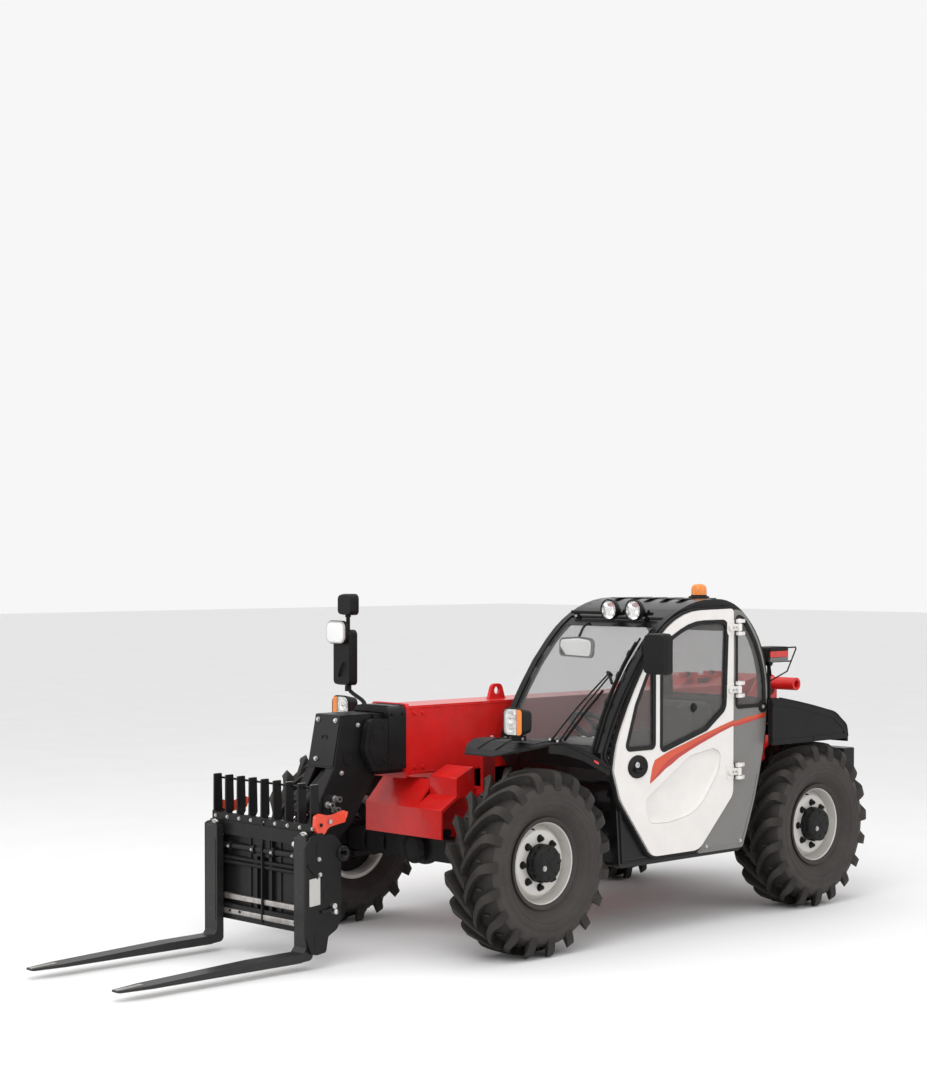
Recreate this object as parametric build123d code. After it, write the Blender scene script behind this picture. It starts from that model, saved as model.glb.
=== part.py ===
from build123d import *
import math
import os

# Compact telehandler, millimetres. Vehicle frame while modelling: X forward with
# the front axle at x = 0, Y to the machine's left, Z up from a plane LIFT_Z above
# the ground. At the end everything moves by -SHIFT_X, -SHIFT_Y, LIFT_Z so that the
# origin is the middle of the footprint, on the ground.

# ---- driving dimensions -------------------------------------------------
WHEELBASE = 2300.0
TYRE_R = 485.0            # tip of the tread bars
TYRE_W = 324.0
WHEEL_Y = 743.0           # middle plane of a wheel
KING_Y = 600.0            # steering pivot
RIM_R = 226.0             # bead seat
AXLE_Z = 462.0            # axle height over the modelling plane
LIFT_Z = TYRE_R - AXLE_Z  # raises the machine so that the tyres stand on z = 0
BOOM_Y = -130.0           # middle plane of the boom
BOOM_W = 260.0
BOOM_TOP = 1235.0
BOOM_BOT = 865.0
BOOM_FRONT = 190.0
PIVOT = (-2880.0, 1200.0)       # boom pivot, x and z
TILT = (940.0, 400.0)           # carriage pivot, x and z
LIFT_BASE = (-2780.0, 750.0)    # lower pin of the lift cylinder
LIFT_EYE = (-1980.0, 780.0)     # pin under the boom
TILT_BASE = (430.0, 1060.0)     # upper pin of the tilt cylinder
TILT_EYE = (982.0, 570.0)       # eye on the carriage crank
CAB_Y0 = 60.0             # cab inner side
CAB_Y1 = 830.0            # cab outer side, under the door skin
DOOR_Y = 865.0
FORK_X = 1110.0           # front face of the fork shanks
FORK_LEN = 1100.0
FORK_W = 96.0
FORK_T = 42.0
FORK_Y = (-487.0, 240.0)
SLIDE = 2000.0            # boom extension
HOOD_HINGE = (-334.0, 1292.0)   # y and z of the hood hinge line
HINGE = (-1545.0, 884.0)        # x and y of the door hinge line
SHIFT_X = -420.0
SHIFT_Y = 82.0

P = {}


# ---- helpers ------------------------------------------------------------
def wire(pts):
    """Closed outline of straight runs; a point (a, b, r) gets its corner rounded, r = -1 as much as fits."""
    n = len(pts)
    legs = []
    for i, p in enumerate(pts):
        r = p[2] if len(p) > 2 else 0.0
        v = Vector(p[0], p[1])
        if r < 0:                                   # as round as its two runs allow
            a = Vector(pts[i - 1][0], pts[i - 1][1]) - v
            b = Vector(pts[(i + 1) % n][0], pts[(i + 1) % n][1]) - v
            half = math.radians(a.normalized().get_angle(b.normalized())) / 2
            r = 0.48 * min(a.length, b.length) * math.tan(half)
        if r <= 0:
            legs.append((v, v, None))
            continue
        a = Vector(pts[i - 1][0], pts[i - 1][1]) - v
        b = Vector(pts[(i + 1) % n][0], pts[(i + 1) % n][1]) - v
        ua, ub = a.normalized(), b.normalized()
        half = math.radians(ua.get_angle(ub)) / 2
        t = r / math.tan(half)
        m = (ua + ub).normalized()
        mid = v + m * (r / math.sin(half) - r)
        legs.append((v + ua * t, v + ub * t, mid))
    edges = []
    for i, (s, e, mid) in enumerate(legs):
        if mid is not None:
            edges.append(Edge.make_three_point_arc(s, mid, e))
        nxt = legs[(i + 1) % n][0]
        if (nxt - e).length > 1e-6:
            edges.append(Edge.make_line(e, nxt))
    return Wire(edges)


def face(pts, *holes):
    f = Face(wire(pts))
    for h in holes:
        f = f - Face(wire(h))
    return f.face() if hasattr(f, "face") else f


def xz(pts, y0, y1, *holes):
    """Outline in X and Z, from y0 to y1."""
    pl = Plane(origin=(0, y0, 0), x_dir=(1, 0, 0), z_dir=(0, -1, 0))
    return extrude(pl * face(pts, *holes), amount=y1 - y0, dir=(0, 1, 0))


def yz(pts, x0, x1, *holes):
    """Outline in Y and Z, from x0 to x1."""
    pl = Plane(origin=(x0, 0, 0), x_dir=(0, 1, 0), z_dir=(1, 0, 0))
    return extrude(pl * face(pts, *holes), amount=x1 - x0, dir=(1, 0, 0))


def xy(pts, z0, z1, *holes):
    pl = Plane(origin=(0, 0, z0), x_dir=(1, 0, 0), z_dir=(0, 0, 1))
    return extrude(pl * face(pts, *holes), amount=z1 - z0, dir=(0, 0, 1))


def box(x0, x1, y0, y1, z0, z1):
    return Pos((x0 + x1) / 2, (y0 + y1) / 2, (z0 + z1) / 2) * Box(x1 - x0, y1 - y0, z1 - z0)


def cyl_y(x, z, r, y0, y1):
    return Pos(x, (y0 + y1) / 2, z) * Rot(90, 0, 0) * Cylinder(r, y1 - y0)


def cyl_z(x, y, r, z0, z1):
    return Pos(x, y, (z0 + z1) / 2) * Cylinder(r, z1 - z0)


def cyl_x(y, z, r, x0, x1):
    return Pos((x0 + x1) / 2, y, z) * Rot(0, 90, 0) * Cylinder(r, x1 - x0)


def rod(a, b, r, y):
    """Round bar in a plane of constant y, from a to b given as x and z."""
    dx, dz = b[0] - a[0], b[1] - a[1]
    ln = math.hypot(dx, dz)
    ang = math.degrees(math.atan2(dx, dz))
    return Pos((a[0] + b[0]) / 2, y, (a[1] + b[1]) / 2) * Rot(0, ang, 0) * Cylinder(r, ln)


def along(a, b, d):
    """Point at distance d from a towards b."""
    ln = math.hypot(b[0] - a[0], b[1] - a[1])
    return (a[0] + (b[0] - a[0]) * d / ln, a[1] + (b[1] - a[1]) * d / ln)


def ring(points, x, y, z):
    """Solid of revolution about the Y axis; points are (radius, y offset)."""
    f = Face(wire(points))
    pl = Plane(origin=(0, 0, 0), x_dir=(1, 0, 0), z_dir=(0, 0, 1))
    s = revolve(pl * f, Axis.Y)
    return Pos(x, y, z) * s


# ---- wheels, knuckles, axles -------------------------------------------
def tyre(side):
    h = TYRE_W / 2
    return [(RIM_R, -112), (246, -112), (296, -155), (340, -h), (405, -h + 2, 30), (TYRE_R - 18, -150, 14),
            (TYRE_R, -122, 20), (TYRE_R, 122, 20), (TYRE_R - 18, 150, 14), (405, h - 2, 30), (340, h), (296, 155),
            (246, 112), (RIM_R, 112)]


def rim(s):
    """Rim with its dish and wheel hub; s is +1 when outside is +Y."""
    def o(v):
        return v * s
    pts = [(47.05, o(-30)), (100, o(-30)), (100, o(82)), (178, o(82)), (200, o(30), 8), (200, o(-122)), (240, o(-122)),
           (240, o(-114)), (RIM_R, o(-114)), (RIM_R, o(114)), (240, o(114)), (240, o(124)), (214, o(124)),
           (204, o(98), 6), (98, o(98)), (98, o(132), 8), (84, o(146), 6), (0, o(146)), (0, o(72)), (47.05, o(72))]
    return pts


WHEELS = (  # name, x, side
    ("front_left", 0.0, 1), ("front_right", 0.0, -1),
    ("rear_left", -WHEELBASE, 1), ("rear_right", -WHEELBASE, -1))

for name, wx, s in WHEELS:
    P["tyre_" + name] = ring(tyre(s), wx, s * WHEEL_Y, AXLE_Z)
    P["rim_" + name] = ring(rim(s), wx, s * WHEEL_Y, AXLE_Z)
    # knuckle: a fork around the axle end, with its spindle in the wheel hub
    ky = s * KING_Y
    y_a, y_b = sorted((s * (WHEEL_Y - 36), s * (WHEEL_Y - 76)))
    body = cyl_y(wx, AXLE_Z, 92, y_a, y_b)
    ya, yb = sorted((s * (WHEEL_Y - 76), s * (KING_Y - 36)))
    for z0, z1 in ((AXLE_Z + 74, AXLE_Z + 104), (AXLE_Z - 104, AXLE_Z - 74)):
        body += box(wx - 52, wx + 52, ya, yb, z0, z1)
    yc, yd = sorted((s * (WHEEL_Y - 76), s * (WHEEL_Y - 56)))
    body += box(wx - 52, wx + 52, yc, yd, AXLE_Z - 104, AXLE_Z + 104)
    ye, yf = sorted((s * (WHEEL_Y - 40), s * (WHEEL_Y + 66)))
    body += cyl_y(wx, AXLE_Z, 47.0, ye, yf)
    for z0, z1 in ((AXLE_Z + 30, AXLE_Z + 104), (AXLE_Z - 104, AXLE_Z - 30)):
        body += cyl_z(wx, ky, 22.0, z0, z1)
    # steering arm
    d = -1 if wx == 0 else 1
    xa, xb = sorted((wx + d * 40, wx + d * 150))
    yg, yh = sorted((s * (KING_Y - 34), s * (KING_Y + 20)))
    body += box(xa, xb, yg, yh, AXLE_Z - 104, AXLE_Z - 86)
    P["knuckle_" + name] = body

for name, wx in (("front_axle", 0.0), ("rear_axle", -WHEELBASE)):
    a = box(wx - 62, wx + 62, -470, 470, AXLE_Z - 62, AXLE_Z + 62)
    a += Pos(wx, -40, AXLE_Z) * Sphere(97)
    a += box(wx - 90, wx + 90, -330, 70, AXLE_Z + 60, AXLE_Z + 92)
    for s in (-1, 1):
        y0, y1 = sorted((s * 465, s * (KING_Y + 34)))
        a += box(wx - 40, wx + 40, y0, y1, AXLE_Z - 68, AXLE_Z + 68)
        a -= cyl_z(wx, s * KING_Y, 22.05, AXLE_Z - 90, AXLE_Z + 90)
    P[name] = a

# ---- chassis ------------------------------------------------------------
PLATE_T = 22.0
FRAME_L = (BOOM_Y + 165.0, BOOM_Y + 165.0 + PLATE_T)      # inner and outer y of the left plate
FRAME_R = (BOOM_Y - 165.0 - PLATE_T, BOOM_Y - 165.0)
SLOT = AXLE_Z + 92.0
side = [(186, SLOT + 6), (186, 680, 20), (50, 822, 40), (-260, 800, 60), (-420, 570, 60), (-1960, 570, 60),
        (-2380, 800, 80), (-2790, 1290, 40), (-2960, 1290, 60), (-2960, 1110, 60), (-2900, 640, 60), (-2560, SLOT),
        (-1960, 400, 40), (-420, 360, 60), (-300, SLOT)]
fr = None
for y0, y1 in (FRAME_L, FRAME_R):
    plate = xz(side, y0, y1)
    for ax in (0.0, -WHEELBASE):
        plate -= box(ax - 170, ax + 170, y0 - 5, y1 + 5, 200, SLOT)
    plate -= cyl_y(PIVOT[0], PIVOT[1], 35.0, y0 - 5, y1 + 5)
    fr = plate if fr is None else fr + plate
yl, yr = FRAME_L[0], FRAME_R[1]
fr += box(100, 186, yr, yl, 580, 612)                       # front cross plate
fr += box(-160, 96, yr, yl, SLOT + 10, SLOT + 36)                      # over the front axle
fr += box(-1900, -420, yr, yl, 380, 402)                    # belly plate
fr += box(-2460, -2140, yr, yl, SLOT + 10, SLOT + 36)                   # over the rear axle
fr += box(-2940, -2905, yr, yl, 660, 1080)                  # tail plate
fr += cyl_y(LIFT_BASE[0], LIFT_BASE[1], 25.0, yr, yl)       # lift cylinder pin
fr += cyl_y(PIVOT[0], PIVOT[1], 35.0, FRAME_R[0], FRAME_L[1])   # boom pivot pin
fr += box(-170, -60, FRAME_L[1] - 1, 345, 770, 796) + box(-150, -60, 325, 345, 795, 1060)      # left fender bracket
fr += box(-170, -60, -385, FRAME_R[0] + 1, 770, 796) + box(-150, -60, -400, -380, 770, 1060)   # right fender bracket
fr += cyl_y(-2895, 1238, 40, FRAME_L[1] - 1, 262) - cyl_y(-2895, 1238, 24, FRAME_L[1] + 60, 270)   # stop tube beside the pivot
for x0 in (-2840, -2600):                                   # hinge posts of the engine hood
    fr += box(x0, x0 + 40, FRAME_R[0], FRAME_R[1], 1000, 1302)
    fr += cyl_x(HOOD_HINGE[0], HOOD_HINGE[1], 8.0, x0, x0 + 75)
    fr += box(x0, x0 + 40, HOOD_HINGE[0], FRAME_R[0] + 1, HOOD_HINGE[1] - 8, HOOD_HINGE[1] + 8)
P["main_frame"] = fr
nose = box(191, 203, -300, 300, 548, 700)                   # nose: front plate, slope under the boom, raised box on its left
nose += xz([(203, 690), (203, 702, 8), (66, 842), (57, 833), (191, 694)], -300, 94)
nose += xz([(203, 690), (203, 702, 8), (92, 768), (80, 768), (80, 756), (191, 690)], 93, 300)
shell = xz([(92, 757), (92, 864, 8), (-40, 920, 8), (-40, 760)], 94, 300)
shell -= xz([(80, 740), (80, 857), (-50, 912), (-50, 740)], 106, 288)
nose += shell
P["nose_cover"] = nose

# ---- boom ---------------------------------------------------------------
by0, by1 = BOOM_Y - BOOM_W / 2, BOOM_Y + BOOM_W / 2
WALL = 14.0
outer = xz([(BOOM_FRONT, BOOM_BOT), (BOOM_FRONT, BOOM_TOP), (-2700, BOOM_TOP), (-2700, 985), (-2050, BOOM_BOT)], by0, by1)
outer -= xz([(BOOM_FRONT + 5, BOOM_BOT + WALL), (BOOM_FRONT + 5, BOOM_TOP - WALL), (-2600, BOOM_TOP - WALL), (-2600, 978),
             (-2047, BOOM_BOT + WALL)], by0 + WALL, by1 - WALL)
outer += yz([(by0 - 8, BOOM_BOT - 14, 24), (by1 + 8, BOOM_BOT - 14, 24), (by1 + 8, BOOM_TOP + 12, 24), (by0 - 8, BOOM_TOP + 12, 24)],
            BOOM_FRONT - 28, BOOM_FRONT,
            [(by0 + WALL, BOOM_BOT + WALL), (by1 - WALL, BOOM_BOT + WALL), (by1 - WALL, BOOM_TOP - WALL), (by0 + WALL, BOOM_TOP - WALL)])
outer += xz([(-2650, 976), (-2650, BOOM_TOP), (PIVOT[0], PIVOT[1] + 92), (-2962, PIVOT[1] + 30, 50), (-2962, PIVOT[1] - 60, 50)],
            by0, by1)
outer -= cyl_y(PIVOT[0], PIVOT[1], 35.06, by0 - 5, by1 + 5)
for y0, y1 in ((BOOM_Y - 62, BOOM_Y - 40), (BOOM_Y + 40, BOOM_Y + 62)):       # lugs of the lift cylinder
    outer += xz([(LIFT_EYE[0] - 120, BOOM_BOT + 12), (LIFT_EYE[0] + 90, BOOM_BOT + 12), (LIFT_EYE[0] + 52, LIFT_EYE[1] - 44, 40),
                 (LIFT_EYE[0] - 60, LIFT_EYE[1] - 44, 40)], y0, y1)
eye = xz([(-690, BOOM_TOP - 1), (-560, BOOM_TOP - 1), (-588, BOOM_TOP + 84, 34), (-662, BOOM_TOP + 84, 34)], BOOM_Y - 10, BOOM_Y + 10)
eye -= cyl_y(-625, BOOM_TOP + 46, 22, BOOM_Y - 20, BOOM_Y + 20)
outer += eye
P["boom_outer"] = outer

GAP = 6.0
iy0, iy1 = by0 + WALL + GAP, by1 - WALL - GAP
IB, IT = BOOM_BOT + WALL + GAP, BOOM_TOP - WALL - GAP
inner = xz([(200, IB), (200, IT), (-2300, IT), (-2300, IB + 63), (-2000, IB)], iy0, iy1)
inner -= xz([(150, IB + 10), (150, IT - 10), (-2310, IT - 10), (-2310, IB + 76), (-1998, IB + 10)], iy0 + 10, iy1 - 10)
P["boom_inner"] = inner

# boom head: two side plates round the tilt cylinder, and the nose behind them
HEAD = [(380, 880), (380, 1205, 20), (600, 1205, 25), (655, 930, 60), (755, 760, 60), (1000, 450, 60), (990, 345, 50),
        (900, 335, 60), (540, 640, 80)]
head = box(200, 400, BOOM_Y - 118, BOOM_Y + 118, 882, 1205)
for y0, y1 in ((BOOM_Y - 105, BOOM_Y - 85), (BOOM_Y + 85, BOOM_Y + 105)):
    head += xz(HEAD, y0, y1)
head += xz([(596, 1205), (610, 1205), (667, 932), (653, 932)], BOOM_Y - 105, BOOM_Y + 105)      # front cover plate
for y0, y1 in ((BOOM_Y - 105, BOOM_Y - 44), (BOOM_Y + 44, BOOM_Y + 105)):                # its lower flanges beside the cylinder
    head += xz([(652, 934), (668, 930), (768, 760), (752, 758)], y0, y1)
head += cyl_y(TILT_BASE[0], TILT_BASE[1], 22.0, BOOM_Y - 105, BOOM_Y + 105)
head -= box(372, 405, BOOM_Y - 60, BOOM_Y + 60, 1000, 1120)
head -= cyl_y(TILT[0], TILT[1], 30.0, BOOM_Y - 120, BOOM_Y + 120)
P["boom_head"] = head
hc = xz([(205, 905, 20), (205, 1180, 40), (470, 1180, 40), (500, 1020, 30), (440, 905, 30)], BOOM_Y + 119, BOOM_Y + 160)
hc += yz([(-256, 905), (-256, 1243, 50), (30, 1243, 50), (30, 905)], 205, 330, [(-251, 900), (-251, 1209, 2), (-9, 1209, 2), (-9, 900)])    # hoop over the nose of the boom
P["hose_cover"] = hc

# ---- carriage, backrest and forks --------------------------------------
DX = 40.0                          # the carriage is drawn DX too far back and moved at the end
CX0, CX1 = 950.0, 1020.0           # carriage bars, back and front
CY0, CY1 = BOOM_Y - 432, BOOM_Y + 440
car = box(CX0 + 30, CX1, CY0, CY1, 590, 660)                # top bar
car += box(CX0 + 30, CX1, CY0, CY1, 150, 230)               # bottom bar
for yc in (-60, 60):                             # uprights
    w = 15 if abs(yc) > 100 else 12
    car += box(CX0 + 30, CX1 - 10, BOOM_Y + yc - w, BOOM_Y + yc + w, 200, 620)
for s in (-1, 1):                                           # ears on the tilt pivot, outside the head
    y0, y1 = sorted((BOOM_Y + s * 111, BOOM_Y + s * 135))
    car += xz([(1000, 200), (1000, 640), (940, 640, 30), (860, 440, 30), (860, 350, 50), (930, 330, 30)], y0, y1)
car += cyl_y(TILT[0] - DX, TILT[1], 29.94, BOOM_Y - 135, BOOM_Y + 135)
car += box(CX0 + 36, CX0 + 44, CY0 + 10, CY1 - 10, 228, 592)    # back sheet
P["carriage"] = car
crank = None
for y0, y1 in ((BOOM_Y - 48, BOOM_Y - 30), (BOOM_Y + 30, BOOM_Y + 48)):
    c = xz([(1004, 515), (1004, 625), (982, 625), (940, 610, 20), (908, 590, 20), (908, 548, 20)], y0, y1)
    crank = c if crank is None else crank + c
P["carriage"] -= box(960, 1002, BOOM_Y - 30, BOOM_Y + 30, 560, 650)       # room for the rod eye
P["carriage"] += crank + box(CX0 + 52, CX0 + 64, BOOM_Y - 60, BOOM_Y + 60, 500, 600)
car = Pos(DX, 0, 0) * P["carriage"]
END = [(1131, 150, 60), (1095, 62, 30), (1058, 54, 10), (1000, 62, 14), (985, 140, 20), (930, 168, 40), (901, 220, 30), (901, 600, 30),
       (945, 645, 30), (1085, 652, 40), (1131, 600, 30)]
for y0, y1, xf in ((CY0, CY0 + 16, 1097), (CY1 - 16, CY1, 1131)):       # end plates, each with the ear of the tool lock
    pl = xz(END, y0, y1) & box(800, xf, y0 - 1, y1 + 1, 0, 700)
    pl += cyl_y(893, 548, 37, y0, y1 + (6 if y0 > 0 else 0))
    car += pl - cyl_y(893, 548, 20, y0 - 5, y1 + 10)
P["carriage"] = car

BACK_TOP = 897.0
br = box(CX0 + 40, CX1 - 5, BOOM_Y - 420, BOOM_Y + 396, 661, 700)
for i in range(9):
    yc = BOOM_Y - 411 + i * 99.0
    br += xz([(CX0 + 41, 690), (CX1 - 8, 690), (CX1 - 10, BACK_TOP), (CX0 + 12, BACK_TOP), (CX0 + 7, 715)], yc - 6, yc + 6)
P["backrest"] = Pos(DX, 0, 0) * br

for nm, fy in zip(("fork_right", "fork_left"), FORK_Y):
    blade = [(FORK_X - FORK_T, 30, 26), (FORK_X + 60, 22), (FORK_X + FORK_LEN, 24), (FORK_X + FORK_LEN, 34),
             (FORK_X + 300, 64), (FORK_X + 20, 66, 14), (FORK_X, 92), (FORK_X, 640, 8), (FORK_X - FORK_T, 640, 8)]
    f = xz(blade, fy - FORK_W / 2, fy + FORK_W / 2)
    tip = xy([(FORK_X - 200, fy - 200), (FORK_X - 200, fy + 200), (FORK_X + FORK_LEN + 10, fy + 200), (FORK_X + FORK_LEN + 10, fy + 28),
              (FORK_X + FORK_LEN, fy + 26, 10), (FORK_X + FORK_LEN - 160, fy + FORK_W / 2),
              (FORK_X - 150, fy + FORK_W / 2), (FORK_X - 150, fy - FORK_W / 2), (FORK_X + FORK_LEN - 160, fy - FORK_W / 2),
              (FORK_X + FORK_LEN, fy - 26, 10), (FORK_X + FORK_LEN + 10, fy - 28), (FORK_X + FORK_LEN + 10, fy - 200)], 0, 120)
    f -= tip
    f += box(CX1 + DX + 1, FORK_X - FORK_T + 1, fy - 40, fy + 40, 560, 630)         # upper hook
    f += box(CX1 + DX + 1, FORK_X - FORK_T + 1, fy - 40, fy + 40, 160, 220)
    P[nm] = f

# ---- cylinders ----------------------------------------------------------
LB, LE = LIFT_BASE, LIFT_EYE
llen = math.hypot(LE[0] - LB[0], LE[1] - LB[1])
LB_END, TB_END = llen - 150, 0.0


def cylinder_pair(a, b, ln, end, ro, ri, rr, eye, half, pin, start, back):
    """Barrel from a, and rod with its piston and eye at b."""
    tube = rod(along(a, b, 0), along(a, b, end), ro, BOOM_Y)
    tube -= rod(along(a, b, start), along(a, b, end - 22), ri, BOOM_Y)
    tube -= rod(along(a, b, end - 30), along(a, b, end + 10), rr + 0.06, BOOM_Y)
    tube += cyl_y(a[0], a[1], eye + 10, BOOM_Y - half, BOOM_Y + half)
    tube -= cyl_y(a[0], a[1], pin + 0.06, BOOM_Y - half - 20, BOOM_Y + half + 20)
    bar = rod(along(a, b, start + back + 12), along(a, b, ln - eye * 0.6), rr, BOOM_Y)
    bar += rod(along(a, b, start + back), along(a, b, start + back + 50), ri - 0.06, BOOM_Y)
    bar += cyl_y(b[0], b[1], eye, BOOM_Y - half + 2, BOOM_Y + half - 2)
    bar -= cyl_y(b[0], b[1], eye * 0.55, BOOM_Y - half - 5, BOOM_Y + half + 5)
    return tube, bar


P["lift_barrel"], P["lift_rod"] = cylinder_pair(LB, LE, llen, llen - 150, 48, 36, 28, 34, 32, 25, 60, 8)
TB, TE = TILT_BASE, TILT_EYE
tlen = math.hypot(TE[0] - TB[0], TE[1] - TB[1])
P["tilt_barrel"], P["tilt_rod"] = cylinder_pair(TB, TE, tlen, tlen - 190, 36, 27, 20, 28, 24, 22, 60, 42)

# ---- engine side --------------------------------------------------------
EY0, EY1 = -855.0, FRAME_R[0] - 1
P["engine_block"] = box(-1700, -900, -790, -370, 480, 940)
tray = box(-1732, -647, EY0 + 10, EY1, 400, 430)
tray += box(-662, -647, EY0 + 20, EY1, 400, 980)
tray += box(-1732, -647, EY0 + 10, EY0 + 22, 400, 694)
tray += box(-1732, -1720, EY0 + 10, EY1, 400, 694)
P["engine_tray"] = tray
HOOD = [(-620, 700, 30), (-620, 1010, 50), (-1150, 1080, 60), (-2350, 1150, 60), (-2560, 1280, 60), (-2880, 1280, 70),
        (-2930, 960, 30), (-1850, 960, 30), (-1750, 700, 30)]
HOOD_IN = [(-640, 690), (-640, 990, 30), (-1150, 1060, 60), (-2350, 1130, 60), (-2560, 1260, 60), (-2870, 1260, 50),
           (-2912, 950), (-1838, 950), (-1738, 690)]
hood = xz(HOOD, EY0, EY1 - 8) - xz(HOOD_IN, EY0 + 14, EY1 - 4)
for x0 in (-2840, -2600):                                   # hinge barrels
    hood += cyl_x(HOOD_HINGE[0], HOOD_HINGE[1], 14.0, x0 + 46, x0 + 70) - cyl_x(HOOD_HINGE[0], HOOD_HINGE[1], 8.06, x0 + 40, x0 + 80)
    hood += box(x0 + 46, x0 + 70, HOOD_HINGE[0] - 60, HOOD_HINGE[0] - 11, 1274, 1300)
P["engine_hood"] = hood

# ---- fenders ------------------------------------------------------------
FF = [(150, 1003), (146, 1009), (100, 1034), (0, 1075, 120), (-110, 1075, 120), (-250, 1032, -1), (-400, 955, 60), (-455, 922), (-455, 908),
      (-396, 943, 60), (-248, 1018, -1), (-108, 1064, 120), (-4, 1064, 120), (96, 1023)]
FF_PLAN = [(152, 420, 20), (152, 620, 60), (100, 720, -1), (0, 880, -1), (-110, 900, -1), (-460, 900, 30), (-460, 330), (-40, 330), (60, 345, -1)]
ffl = xz(FF, 320, 905) & xy(FF_PLAN, 880, 1100)
ffl += xz([(-110, 1068), (-250, 1024), (-400, 948), (-455, 914), (-455, 880, 10), (-400, 905, 40), (-250, 975, 60), (-110, 1015, 40), (0, 1030), (0, 1068)], 884, 896)
ffr = mirror(ffl, about=Plane.XZ)
P["front_fenders"] = ffl + (ffr & box(-500, 100, -950, -300, 800, 1200))
ff = P["front_fenders"]
P["main_frame"] -= ff
cw = box(-2985, -2874, -640, 640, 560, 860)
cw -= box(-2962, -2860, FRAME_L[0], FRAME_L[1], 500, 900)
cw -= box(-2962, -2860, FRAME_R[0], FRAME_R[1], 500, 900)
cw -= box(-2941, -2860, FRAME_R[1] - 1, FRAME_L[0] + 1, 500, 900)
P["counterweight"] = cw
th = box(-3000, -2985, -80, 80, 570, 700)
for z0 in (585, 660):
    th += box(-3050, -2999, -45, 45, z0, z0 + 22) - cyl_z(-3025, 0, 14.0, z0 - 5, z0 + 30)
P["tow_hitch"] = th
RF = [(-1895, 1214), (-1895, 1226), (-1990, 1210, -1), (-2229, 1164, -1), (-2425, 1118, 60), (-2545, 1034, 40), (-2556, 940), (-2544, 940),
      (-2533, 1028, 30), (-2419, 1106, 50), (-2226, 1152, -1), (-1988, 1198, -1)]
SKIRT = [(-1822, 958, 20), (-1822, 1230, 20), (-1990, 1210, -1), (-2229, 1164, -1), (-2425, 1118, 60), (-2545, 1034, 40), (-2556, 958, 10)]
rfl = xz(RF, FRAME_L[1] + 2, 900) + xz(SKIRT, 874, 900) + box(-2556, -2544, FRAME_L[1] + 2, 900, 940, 1000)
P["rear_fender"] = rfl
hf = xz([(-1900, 944, 20), (-1870, 1010, 30), (-2240, 1040, 200), (-2560, 1010, 60), (-2610, 925), (-2590, 925), (-2545, 975, 40), (-2240, 1000, 200)], EY0 - 46, EY0 - 0.5)
P["hood_fender"] = hf

# ---- cab ----------------------------------------------------------------
CAB = [(-600, 370, 30), (-565, 830, 40), (-455, 960, 30), (-455, 1000, 20), (-540, 1190, -1), (-720, 1460, -1), (-960, 1690, -1), (-1230, 1800, -1),
       (-1560, 1800, -1), (-1790, 1600, -1), (-1880, 1350, -1), (-1870, 1050, -1), (-1760, 640, -1), (-1620, 370, 30)]


def inset(pts, d):
    """The same outline moved inwards by d."""
    n = len(pts)
    out = []
    for i, p in enumerate(pts):
        v = Vector(p[0], p[1])
        a = (v - Vector(pts[i - 1][0], pts[i - 1][1])).normalized()
        b = (Vector(pts[(i + 1) % n][0], pts[(i + 1) % n][1]) - v).normalized()
        na, nb = Vector(a.Y, -a.X), Vector(b.Y, -b.X)
        m = (na + nb)
        k = d / (1 + na.dot(nb)) if (1 + na.dot(nb)) > 1e-6 else d
        q = v - m * k
        r = p[2] if len(p) > 2 else 0
        r = -1 if r < 0 else max(2.0, r - d)
        out.append((q.X, q.Y, r))
    return out


CAB_IN = inset(CAB, 48)
P["cab_left_frame"] = xz(CAB, CAB_Y1 - 40, CAB_Y1, CAB_IN)
P["cab_left_frame"] += xz([(-640, 405), (-862, 405), (-862, 440, 20), (-812, 460, 40), (-640, 690, 60), (-612, 800), (-575, 800), (-590, 600)], CAB_Y1 - 24, CAB_Y1 - 1)
P["cab_left_frame"] += xz([(-1190, 405), (-1190, 440, 20), (-1240, 455, 40), (-1490, 700, 60), (-1495, 760, 20), (-1760, 700), (-1640, 405)], CAB_Y1 - 24, CAB_Y1 - 1)
P["cab_right_frame"] = xz(CAB, CAB_Y0, CAB_Y0 + 40, CAB_IN)
IY0, IY1 = CAB_Y0 + 40, CAB_Y1 - 40


def skin(d0, d1, x0, x1, z0, z1):
    """Part of the cab's curved skin between two depths, cut by a box."""
    return (xz(inset(CAB, d0), IY0, IY1, inset(CAB, d1))) & box(x0, x1, IY0 - 5, IY1 + 5, z0, z1)


tub = xz(CAB, IY0, IY1, inset(CAB, 26)) - box(-2000, -300, IY0 - 5, IY1 + 5, 995, 2000)
P["cab_tub"] = tub
P["cab_roof"] = xz(CAB, IY0, IY1, inset(CAB, 34)) & box(-1740, -975, IY0 - 5, IY1 + 5, 1500, 1900)
P["windscreen"] = skin(8, 14, -975, -300, 995, 1800)
P["rear_glass"] = skin(8, 14, -2000, -1740, 995, 1800)
P["right_glass"] = xz(CAB_IN, CAB_Y0 + 10, CAB_Y0 + 16) & box(-2000, -300, 0, 200, 1010, 1900)
P["right_wall"] = xz(CAB_IN, CAB_Y0 + 6, CAB_Y0 + 26) & box(-2000, -300, 0, 200, 300, 1010)

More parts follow.
